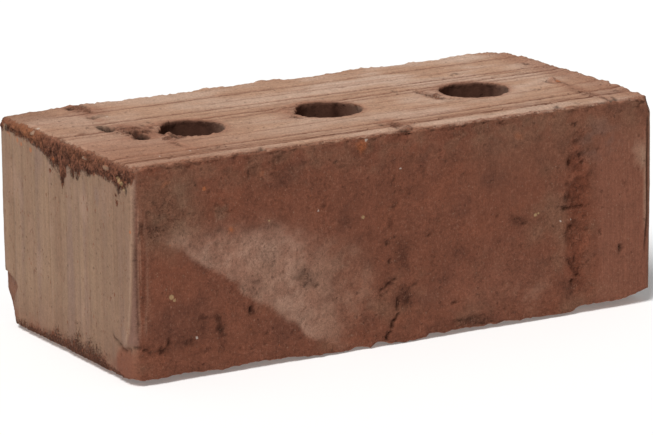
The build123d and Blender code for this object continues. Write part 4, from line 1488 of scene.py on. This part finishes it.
class Paint:
    """A material while it is made: every node comes from one method."""

    def __init__(self, name):
        self.material = bpy.data.materials.new(name)
        self.material.use_nodes = True
        self.tree = self.material.node_tree
        self.tree.nodes.clear()

    def node(self, kind, settings=None, values=None, output=0):
        """Adds a node of the type with its settings, fills or links its sockets and gives an output."""
        node = self.tree.nodes.new(kind)
        for name, value in (settings or {}).items():
            setattr(node, name, value)
        for key, value in (values or {}).items():
            socket = node.inputs[key]
            if isinstance(value, Wire):
                self.tree.links.new(value.socket, socket)
            else:
                socket.default_value = value
        return Wire(self, node.outputs[output]) if len(node.outputs) else None

    def vector(self, operation, *values, output=0, **named):
        """Vector maths on the values, which fill its sockets in order or by name."""
        values = {**dict(enumerate(values)), **named}
        return self.node("ShaderNodeVectorMath", {"operation": operation}, values, output)

    def surfaced(self, values):
        """Ends the material in a surface with the values, and gives it back."""
        surface = self.node("ShaderNodeBsdfPrincipled", {}, values)
        self.node("ShaderNodeOutputMaterial", {}, {"Surface": surface})
        return self.material

    def kept(self, name, output="Fac"):
        """A value that is stored on the points."""
        return self.node("ShaderNodeAttribute", {"attribute_name": name}, output=output)

    def mix(self, share, first, second):
        """The second colour laid over the first by the share. Each is a wire or three plain numbers."""
        settings = {"data_type": "RGBA", "clamp_factor": True}
        first, second = (colour if isinstance(colour, Wire) else (*colour, 1) for colour in (first, second))
        return self.node("ShaderNodeMix", settings, {0: share, 6: first, 7: second}, output=2)

    def stretched(self, places, size):
        """Coordinates divided by a size for each axis."""
        scale = tuple(1 / part for part in size)
        return self.vector("MULTIPLY", places, scale)

    def clouds(self, places, size, detail=4.0, roughness=0.55):
        """Noise from -1 to 1 in cells of the size, in the unit of the places."""
        size = size if isinstance(size, tuple) else (size, size, size)
        values = {"Vector": self.stretched(places, size), "Scale": 1.0}
        values.update({"Detail": detail, "Roughness": roughness})
        return self.node("ShaderNodeTexNoise", {}, values) * 2.0 - 1.0

    def shake(self, places, scale, reach):
        """Noise in each of three directions, from 0 to the reach."""
        noise_colour = self.node("ShaderNodeTexNoise", {}, {"Vector": places, "Scale": scale}, output="Color")
        return self.vector("SCALE", noise_colour, Scale=reach)

    def grains(self, places, size):
        """Distance to the nearest of scattered points, in cells, and a random number for each of them."""
        size = size if isinstance(size, tuple) else (size, size, size)
        cells = {"Vector": self.stretched(places, size), "Scale": 1.0}
        reach = self.node("ShaderNodeTexVoronoi", {}, cells)
        chance = self.node("ShaderNodeTexVoronoi", {}, cells, output="Color")
        chance = self.node("ShaderNodeSeparateColor", {}, {"Color": chance})
        return reach, chance

    def scattered(self, places, size, ragged, rim, chosen):
        """Scattered spots with ragged rims, where their random numbers are chosen."""
        reach, chance = self.grains(places, size)
        return (1.0 - (reach + ragged).rise(*rim)) * chance.rise(*chosen)

    def marked(self, places, marks):
        """How strong the marks are at each place: each is an oval with its middle, half sizes and share."""
        found = None
        for middle, half, share in marks:
            scale = [1 / part for part in half]
            shift = [-place / part for place, part in zip(middle, half)]
            moved = self.vector("MULTIPLY_ADD", places, scale, shift)
            reach = self.vector("LENGTH", moved, output="Value")
            low, high = FINE_NICK_FALL
            limits = {"Value": reach, "From Min": low, "From Max": high, "To Min": share, "To Max": 0.0}
            inside = self.node("ShaderNodeMapRange", {"interpolation_type": "SMOOTHSTEP"}, limits)
            found = inside if found is None else found.most(inside)
        return found

    def near_any(self, places, specks):
        """1 within the radius of any of the specks, with a soft rim."""
        found = None
        for *middle, radius in specks:
            gap = self.vector("DISTANCE", places, middle, output="Value")
            inside = 1.0 - gap.rise(0.6 * radius, 1.15 * radius)
            found = inside if found is None else found.most(inside)
        return found


def fired_clay(clay):
    """
    Fired clay. The painted colour is streaked along the beds and down the sides, broken up by grain, darkened
    with painted shade in furrows, pits, nicks, ledges and torn places, with torn clay painted as lit and
    shaded crumbs, and dotted with crumbs and mineral specks. The bump follows the same patterns.
    """
    paint = Paint("fired_clay")
    places = paint.node("ShaderNodeTexCoord", output="Object")
    places = paint.vector("SCALE", places, Scale=1 / MM)
    faces = paint.node("ShaderNodeSeparateXYZ", {}, {0: paint.kept("faces", "Vector")})
    bed, header, stretcher = (Wire(paint, share) for share in faces.socket.node.outputs)
    tint = paint.kept("clay_tint", "Vector")
    hollow, crumbly, fracture = paint.kept("hollow"), paint.kept("crumbly"), paint.kept("fracture")
    dusted, dragged, rusty = paint.kept("dusted"), paint.kept("dragged"), paint.kept("rusty")

    warp = paint.clouds(places, 3.2, 3.0)
    fine = paint.clouds(places, 1.1, 4.0, 0.7)
    grain = paint.clouds(places, 0.5, 3.0, 0.75)
    sand = paint.clouds(places, 2.3, 6.0, 0.72)
    cloudy = paint.clouds(places, 8.0, 8.0, 0.7)
    along_bed = paint.clouds(places, (60.0, 0.8, 30.0), 3.0, 0.62)
    wide_bed = paint.clouds(places, (90.0, 3.4, 30.0), 3.0, 0.6)
    down_side = paint.clouds(places, (0.8, 0.8, 80.0), 3.0, 0.62)
    wide_side = paint.clouds(places, (4.2, 4.2, 140.0), 3.0, 0.6)
    dashes_bed = paint.clouds(places, (5.0, 0.55, 5.0), 3.0, 0.6).rise(0.22, 0.5) * bed
    dashes_side = paint.clouds(places, (0.6, 0.6, 5.0), 3.0, 0.6).rise(0.25, 0.55) * header

    streaks = bed * (along_bed * 0.3 + wide_bed * 0.28)
    streaks = streaks + header * (down_side * 0.4 + wide_side * 0.6)
    streaks = streaks + stretcher * down_side * (0.1 + dragged * 0.55)
    wire_gap = paint.kept("wire_gap") + warp * 0.4 + fine * 0.45
    wire_line = paint.kept("wire_cut") * wire_gap.bell(0.6) * (0.9 + sand * 1.4)
    wire_band = paint.kept("wire_cut") * wire_gap.bell(1.7) * (0.9 + sand * 1.0)
    strand = paint.clouds(places, (0.9, 0.9, 3.2), 4.0, 0.7)
    torn_edge = paint.kept("torn") + warp * 1.6 + fine * 2.0 + header * strand * 4.0
    torn = torn_edge.rise(-0.2, 0.25)
    sprinkle = paint.clouds(places, (0.75, 0.75, 1.1), 4.0, 0.8) * 1.7 + dusted * 1.15 - 0.82
    sprinkle = sprinkle.rise(0.0, 0.18) * header * dusted.rise(0.02, 0.2)

    pits = paint.scattered(places, 3.1, fine * 0.3, (0.06, 0.2), (0.78, 0.8))
    dark_crumbs = paint.scattered(places, 1.5, fine * 0.3, (0.16, 0.36), (0.4, 0.45))
    speck_reach, speck_chance = paint.grains(places, 1.9)
    specks = (1.0 - (speck_reach + fine * 0.25).rise(0.06, 0.24)) * speck_chance.rise(0.86, 0.87)
    rare = (1.0 - speck_reach.rise(0.08, 0.22)) * (1.0 - speck_chance.rise(0.004, 0.006))

    coarse = 1.1 + bed * 0.9 + stretcher * (1.25 - dragged * 0.9)
    light = 1.0 + streaks * 0.34 + coarse * (grain * 0.22 + sand * 0.16 + fine * 0.22)
    light = light + cloudy * (0.10 + stretcher * (0.4 - dragged * 0.28))
    light = light - dashes_bed * 0.12 - dashes_side * 0.1
    # Painted shade: the colour is darkened by the hollow measure
    light = light * (1.0 - wire_line * 0.25) * (1.0 - hollow * 0.8)
    colour = paint.vector("SCALE", tint, Scale=light)
    bloom = (cloudy * 0.7 + sand * 0.7 + fine * 0.4).rise(0.05, 0.75)
    colour = paint.mix(wire_band * 0.45, colour, clay.bed_red)
    colour = paint.mix(wire_line * 0.9, colour, clay.furrow)
    colour = paint.mix(bloom * stretcher * 0.4, colour, clay.front_bloom)
    fleck = paint.clouds(places, (1.0, 1.0, 1.5), 2.0, 0.8)
    colour = paint.mix(fleck.rise(0.14, 0.4) * stretcher * 0.4, colour, clay.front_tan)
    darker = (0.0 - fleck).rise(0.14, 0.4) * (stretcher + bed * 0.3)
    colour = paint.mix(darker * 0.4, colour, clay.front_dark)
    redder = (sand * 0.7 - cloudy + fine * 0.4).rise(0.1, 0.9)
    colour = paint.mix(redder * (0.12 + bed * 0.3), colour, clay.bed_red)
    colour = paint.mix((crumbly * 0.55 + 0.06) * dark_crumbs, colour, clay.dark_clay_and_shade)
    # Torn clay: noise between its painted shaded and painted lit crumbs, then red, orange, and painted shade
    # in hollows
    strands = (strand + sand * 0.4 + fine * 0.3).rise(-0.34, 0.36)
    torn_colour = paint.mix(strands, clay.dark_clay_and_shade, clay.torn_red_and_lit)
    crest = bed.rise(0.12, 0.75) * (sand + 0.9).rise(0.2, 1.2)
    torn_colour = paint.mix(crest * 0.85, torn_colour, clay.bed_red)
    torn_colour = paint.mix((cloudy + fine * 0.5).rise(0.1, 0.5) * 0.45, torn_colour, clay.torn_orange)
    torn_colour = paint.mix(rusty * (0.55 + sand * 0.8), torn_colour, clay.torn_orange)
    torn_colour = paint.mix(hollow * 0.75, torn_colour, clay.dark_clay_and_shade)
    colour = paint.mix(torn * 0.95, colour, torn_colour)
    colour = paint.mix(sprinkle * 0.75, colour, clay.crumb)
    # Painted shade in scattered pits and pores, more along the wire lines
    pores = paint.scattered(places, 1.6, fine * 0.25, (0.06, 0.22), (0.66, 0.7))
    colour = paint.mix(pits * (0.2 + bed * 0.2), colour, clay.dark_clay_and_shade)
    colour = paint.mix(pores * (bed * 0.22 + wire_band * 0.8 + stretcher * 0.1), colour, clay.dark_clay_and_shade)
    colour = paint.mix(specks * 0.28, colour, clay.pale_and_lip_highlight)
    colour = paint.mix(rare * 0.5, colour, clay.orange)
    shaken = paint.vector("ADD", places, paint.shake(places, 0.9, 1.1))
    shaken = paint.vector("SUBTRACT", shaken, (0.55, 0.55, 0.55))
    # Painted shade of the sharpest nicks
    marks = [((x, y, HEIGHT), (long, wide, 6.0), share) for x, y, long, wide, share in FINE_BED_MARKS]
    for x, z, long, tall, share in FINE_FRONT_MARKS:
        marks.append(((x, -HALF_WIDTH, z), (long, 3.0, tall), share))
    marks = paint.marked(shaken, marks)
    colour = paint.mix(marks * (0.85 + sand * 0.5), colour, clay.dark_clay_and_shade)
    # Painted shade: thin dark lines along the ledges of crumbly skin on the stretchers
    jolted = paint.vector("ADD", shaken, paint.shake(places, 0.3, 5.0))
    cells = {"Vector": paint.stretched(jolted, (4.4, 4.4, 3.6)), "Scale": 1.0}
    ledges = paint.node("ShaderNodeTexVoronoi", {"feature": "DISTANCE_TO_EDGE"}, cells)
    ledges = (1.0 - ledges.rise(0.015, 0.1)) * stretcher
    ledges = ledges * crumbly.rise(0.2, 0.7) * (sand + 0.5).rise(0.2, 0.8)
    colour = paint.mix(ledges * 0.55, colour, clay.dark_clay_and_shade)
    kinds = ((PALE_SPECKS, clay.speck), (YELLOW_SPECKS, clay.speck_yellow), (ORANGE_SPECKS, clay.orange))
    for chosen, finish in kinds:
        colour = paint.mix(paint.near_any(shaken, chosen) * 0.6, colour, finish)

    rugged = 0.35 + bed * 0.8 + stretcher * (1.5 - dragged) + crumbly + fracture + torn
    relief = streaks * 0.2 + rugged * (grain * 0.05 + fine * 0.12 + sand * 0.2)
    relief = relief - wire_line * 0.5 - pits * 0.3
    relief = relief + dark_crumbs * 0.15 * (crumbly + torn) - dashes_bed * 0.12
    chunk = paint.grains(shaken, 2.6)[0]
    relief = relief + sprinkle * 0.3 + torn * 0.35 - chunk * 0.7 * (crumbly + torn * 0.5)
    bump = {"Strength": 1.0, "Distance": MM, "Height": relief}
    normal = paint.node("ShaderNodeBump", {}, bump)
    smooth = header * (1.0 - torn.most(crumbly))
    values = {
        "Base Color": colour,
        "Roughness": 0.93 - smooth * 0.16 + sand * 0.05,
        "Normal": normal,
        "Specular IOR Level": 0.12,
    }
    return paint.surfaced(values)


# The studio

def aim_camera(studio):
    """A camera that looks at the target from an azimuth and a height, turned a little about its own axis."""
    turn, rise_angle, roll = studio.azimuth, studio.elevation, studio.roll
    level = np.cos(rise_angle)
    back = Vector((np.sin(turn) * level, -np.cos(turn) * level, np.sin(rise_angle)))
    right = Vector((np.cos(turn), np.sin(turn), 0))
    up = back.cross(right)
    rolled_right = right * np.cos(roll) + up * np.sin(roll)
    rolled_up = up * np.cos(roll) - right * np.sin(roll)
    data = bpy.data.cameras.new("camera")
    data.sensor_width = SENSOR_WIDTH
    data.lens = studio.lens
    data.clip_start, data.clip_end = CLIPPED_AT
    camera = bpy.data.objects.new("camera", data)
    axes = Matrix((rolled_right, rolled_up, back)).transposed().to_4x4()
    camera.matrix_world = Matrix.Translation(Vector(studio.target) + back * studio.distance) @ axes
    bpy.context.scene.collection.objects.link(camera)
    bpy.context.scene.camera = camera


def floor_piece(studio):
    """A wide pale floor, just under the lowest burr of the brick, that glows a little to stay white."""
    half = studio.floor_size / 2
    mesh = bpy.data.meshes.new("floor")
    sides = ((-half, -half), (half, -half), (half, half), (-half, half))
    corners = [(*side, studio.floor_level) for side in sides]
    mesh.from_pydata(corners, [], [(0, 1, 2, 3)])
    paint = Paint("floor_paper")
    values = {
        "Base Color": (*studio.floor_colour, 1),
        "Roughness": 1.0,
        "Specular IOR Level": 0.0,
        "Emission Color": (1, 1, 1, 1),
        "Emission Strength": studio.floor_glow,
    }
    mesh.materials.append(paint.surfaced(values))
    floor = bpy.data.objects.new("floor", mesh)
    bpy.context.scene.collection.objects.link(floor)


def wide_light(name, away, spread, strength, colour):
    """A far, wide light from the direction away: even over the floor, soft at the rims of shadows."""
    data = bpy.data.lights.new(name, "SUN")
    data.angle = spread
    data.energy = strength
    data.color = colour
    light = bpy.data.objects.new(name, data)
    light.matrix_world = Vector(away).to_track_quat("Z", "Y").to_matrix().to_4x4()
    bpy.context.scene.collection.objects.link(light)


def pale_world(studio):
    """An even pale surrounding."""
    world = bpy.data.worlds.new("studio")
    world.use_nodes = True
    background = world.node_tree.nodes["Background"]
    background.inputs["Color"].default_value = (*studio.world_colour, 1)
    background.inputs["Strength"].default_value = studio.world_strength
    bpy.context.scene.world = world


# Sizes, angles and colours that the user can change

def length_of(name, description, metres):
    """A length, in metres."""
    return FloatProperty(name=name, description=description, default=metres, unit="LENGTH")


def angle_of(name, description, degrees):
    """An angle, given in degrees."""
    return FloatProperty(name=name, description=description, default=np.radians(degrees), subtype="ANGLE")


def colour_of(name, description, colour):
    """A colour of three linear shares."""
    return FloatVectorProperty(
        name=name, description=description, default=colour, subtype="COLOR", size=3, min=0.0, max=1.0)


class BrickShape(bpy.types.PropertyGroup):
    """Sizes of the brick's surface and of its wear."""

    upright_arris: length_of("Upright arris", "Radius of the four upright arrises", 0.0035)
    worn_upright: length_of("Worn upright arris", "Radius at the top of the rear right arris", 0.0105)
    rim_wear: length_of("Core rims", "Mean radius of the worn rims of the cores", 0.0009)
    relief: FloatProperty(
        name="Relief", description="Share of the relief that is applied", default=1.0, subtype="FACTOR")
    gap_along: length_of("Net along", "Spacing of the net's points along the brick", 0.0013)
    gap_across: length_of("Net across", "Spacing of the net's points across the beds", 0.0009)
    gap_up: length_of("Net up", "Spacing of the net's points up the sides", 0.0012)
    gap_at_arris: length_of("Net at arrises", "Spacing of the net's points at the arrises", 0.0005)
    arris_zone: length_of("Arris zone", "How far from an arris the net stays fine", 0.0055)
    core_margin: length_of("Core margin", "Width of the rings of net round each core", 0.005)


class ClayColours(bpy.types.PropertyGroup):
    """Colours of the fired clay."""

    bed: colour_of("Bed", "Wire-cut beds", (0.475, 0.283, 0.19))
    bed_pale: colour_of("Pale bed", "Sandy parts of the beds", (0.58, 0.4, 0.305))
    bed_red: colour_of("Red bed", "Dragged parts of the beds", (0.33, 0.15, 0.095))
    header: colour_of("Header", "Buff headers", (0.283, 0.177, 0.115))
    header_grey: colour_of("Grey header", "Greyer columns of the headers", (0.245, 0.152, 0.112))
    header_brown: colour_of("Brown header", "Browner columns of the headers", (0.215, 0.12, 0.079))
    front_red: colour_of("Stretcher", "Brick red of the stretchers", (0.19, 0.068, 0.04))
    front_warm: colour_of("Warm stretcher", "Warmer parts of the stretchers", (0.215, 0.073, 0.041))
    front_rose: colour_of("Rose stretcher", "Rosier, lighter parts of the stretchers", (0.225, 0.088, 0.055))
    front_dark: colour_of("Dark stretcher", "Darker clouds of the stretchers", (0.125, 0.047, 0.03))
    front_pale: colour_of("Pale stretcher", "Pale band of the front stretcher", (0.395, 0.228, 0.162))
    front_tan: colour_of("Tan stretcher", "Palest patches of the front stretcher", (0.31, 0.162, 0.108))
    front_bloom: colour_of("Bloom", "Fine tan bloom on the stretchers", (0.24, 0.115, 0.075))
    olive: colour_of("Olive", "Olive-brown bloom", (0.21, 0.112, 0.07))
    # Painted shade of torn crumbs, pits, pores, nicks, ledges and hollows; also dark smudges and patches
    dark_clay_and_shade: colour_of("Torn clay, dark", "Shaded crumbs of torn clay", (0.04, 0.014, 0.009))
    # Painted light of lit torn crumbs and of the left of the core walls; also the red of the bed's torn front
    # edge
    torn_red_and_lit: colour_of("Torn clay, light", "Lit crumbs of torn clay", (0.262, 0.1, 0.058))
    torn_orange: colour_of("Torn clay, orange", "Orange-brown strands of torn clay", (0.33, 0.125, 0.055))
    furrow: colour_of("Furrow", "Red-brown lines that the wire left", (0.2, 0.083, 0.052))
    crust: colour_of("Crust", "Red scaly strip of the front stretcher", (0.2, 0.062, 0.034))
    crumb: colour_of("Crumbs", "Dark crumbs on the headers", (0.075, 0.032, 0.021))
    fracture: colour_of("Fracture", "Faces of the broken corners", (0.225, 0.1, 0.062))
    core: colour_of("Cores", "Walls of the cores", (0.13, 0.058, 0.038))
    # Pale grains and patches, paler lips by the right arris, and the painted highlight along the left
    # header's lip
    pale_and_lip_highlight: colour_of("Pale lip", "Rubbed lips and pale grains", (0.42, 0.27, 0.185))
    # Painted shade in the grooves beside the left arrises, and a grey-brown patch on the front stretcher
    grey_and_groove_shade: colour_of("Slip", "Smooth greyish slip beside the arrises", (0.19, 0.1, 0.075))
    orange: colour_of("Orange", "Orange grains and smears", (0.42, 0.13, 0.05))
    speck: colour_of("White grains", "White mineral grains", (0.65, 0.56, 0.48))
    speck_yellow: colour_of("Yellow grains", "Straw and yellow mineral grains", (0.46, 0.32, 0.16))


class StudioSettings(bpy.types.PropertyGroup):
    """The camera, the lights and the floor."""

    azimuth: angle_of("Azimuth", "Turn of the camera round the brick", -30.26)
    elevation: angle_of("Elevation", "Height angle of the camera", 13.82)
    roll: angle_of("Roll", "Turn of the camera about its own axis", -0.58)
    distance: length_of("Distance", "From the target to the camera", 1.738)
    target: FloatVectorProperty(
        name="Target", description="The point that the camera looks at", default=(-0.00113, 0.0, 0.03962),
        subtype="TRANSLATION", size=3)
    lens: FloatProperty(
        name="Lens", description="Focal length on a 36 mm sensor", default=225.87, unit="CAMERA")
    floor_size: length_of("Floor size", "Side of the floor", 12.0)
    floor_level: length_of("Floor level", "Height of the floor, under the lowest burr", -0.0019)
    floor_colour: colour_of("Floor", "Colour of the floor", (0.86, 0.86, 0.86))
    floor_glow: FloatProperty(name="Floor glow", description="Light that the floor adds", default=0.14)
    world_colour: colour_of("Surroundings", "Colour of the surroundings", (1.0, 1.0, 1.0))
    world_strength: FloatProperty(
        name="Surrounding light", description="Strength of the even light", default=0.26)
    key_direction: FloatVectorProperty(
        name="Key direction", description="Where the main light comes from", default=(-0.46, -0.26, 0.85),
        subtype="DIRECTION", size=3)
    key_spread: angle_of("Key spread", "Width of the main light", 26)
    key_colour: colour_of("Key colour", "Colour of the main light", (1.0, 0.99, 0.975))
    key_strength: FloatProperty(name="Key light", description="Strength of the main light", default=2.9)


class InMillimetres:
    """The lengths of a property group, read in millimetres."""

    def __init__(self, group):
        self.group = group

    def __getattr__(self, name):
        return getattr(self.group, name) / MM


class BRICK_OT_make_brick(bpy.types.Operator):
    """Make the fired brick and let it stand for the plain one"""

    bl_idname = "brick.make_brick"
    bl_label = "Fired brick"

    def execute(self, context):
        shape, clay = context.scene.brick_shape, context.scene.clay_colours
        skin, polygons = brick_skin(InMillimetres(shape), shape.relief)
        mesh = mesh_of(PIECE_NAME, skin.place, polygons)
        keep_on_points(mesh, "clay_tint", painted(skin, clay))
        faces = [skin.faces["upper"] + skin.faces["under"], skin.faces["left"] + skin.faces["right"]]
        faces.append(skin.faces["front"] + skin.faces["rear"])
        keep_on_points(mesh, "faces", np.stack(faces, -1))
        for name in ("torn", "wire_gap", "fracture", *SHARED_MEASURES):
            keep_on_points(mesh, name, getattr(skin, name))
        mesh.materials.append(fired_clay(clay))
        piece = bpy.data.objects.new(PIECE_NAME, mesh)
        context.scene.collection.objects.link(piece)
        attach(piece, BODY)
        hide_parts(NODE)
        return {"FINISHED"}


class BRICK_OT_make_studio(bpy.types.Operator):
    """Make the floor, the lights and the camera"""

    bl_idname = "brick.make_studio"
    bl_label = "Studio"

    def execute(self, context):
        studio = context.scene.brick_studio
        aim_camera(studio)
        floor_piece(studio)
        pale_world(studio)
        wide_light("key", studio.key_direction, studio.key_spread, studio.key_strength, studio.key_colour)
        context.scene.view_settings.view_transform = "Standard"
        context.scene.view_settings.look = "None"
        return {"FINISHED"}


OPERATORS = (BRICK_OT_make_brick, BRICK_OT_make_studio)


class BRICK_PT_sidebar(bpy.types.Panel):
    """The brick, its colours and its studio"""

    bl_idname = "BRICK_PT_sidebar"
    bl_label = "Cored clay brick"
    bl_space_type = "VIEW_3D"
    bl_region_type = "UI"
    bl_category = "Brick"

    def draw(self, context):
        for operator in OPERATORS:
            self.layout.operator(operator.bl_idname)
        for group in (context.scene.brick_shape, context.scene.clay_colours, context.scene.brick_studio):
            box = self.layout.box()
            for name in group.__annotations__:
                box.prop(group, name)


CLASSES = (BrickShape, ClayColours, StudioSettings, *OPERATORS, BRICK_PT_sidebar)


def register():
    for one in CLASSES:
        bpy.utils.register_class(one)
    bpy.types.Scene.brick_shape = PointerProperty(type=BrickShape)
    bpy.types.Scene.clay_colours = PointerProperty(type=ClayColours)
    bpy.types.Scene.brick_studio = PointerProperty(type=StudioSettings)


def unregister():
    del bpy.types.Scene.brick_studio
    del bpy.types.Scene.clay_colours
    del bpy.types.Scene.brick_shape
    for one in reversed(CLASSES):
        bpy.utils.unregister_class(one)


def main():
    register()
    for operator in OPERATORS:
        namespace, name = operator.bl_idname.split(".")
        getattr(getattr(bpy.ops, namespace), name)()


if __name__ == "__main__":
    main()
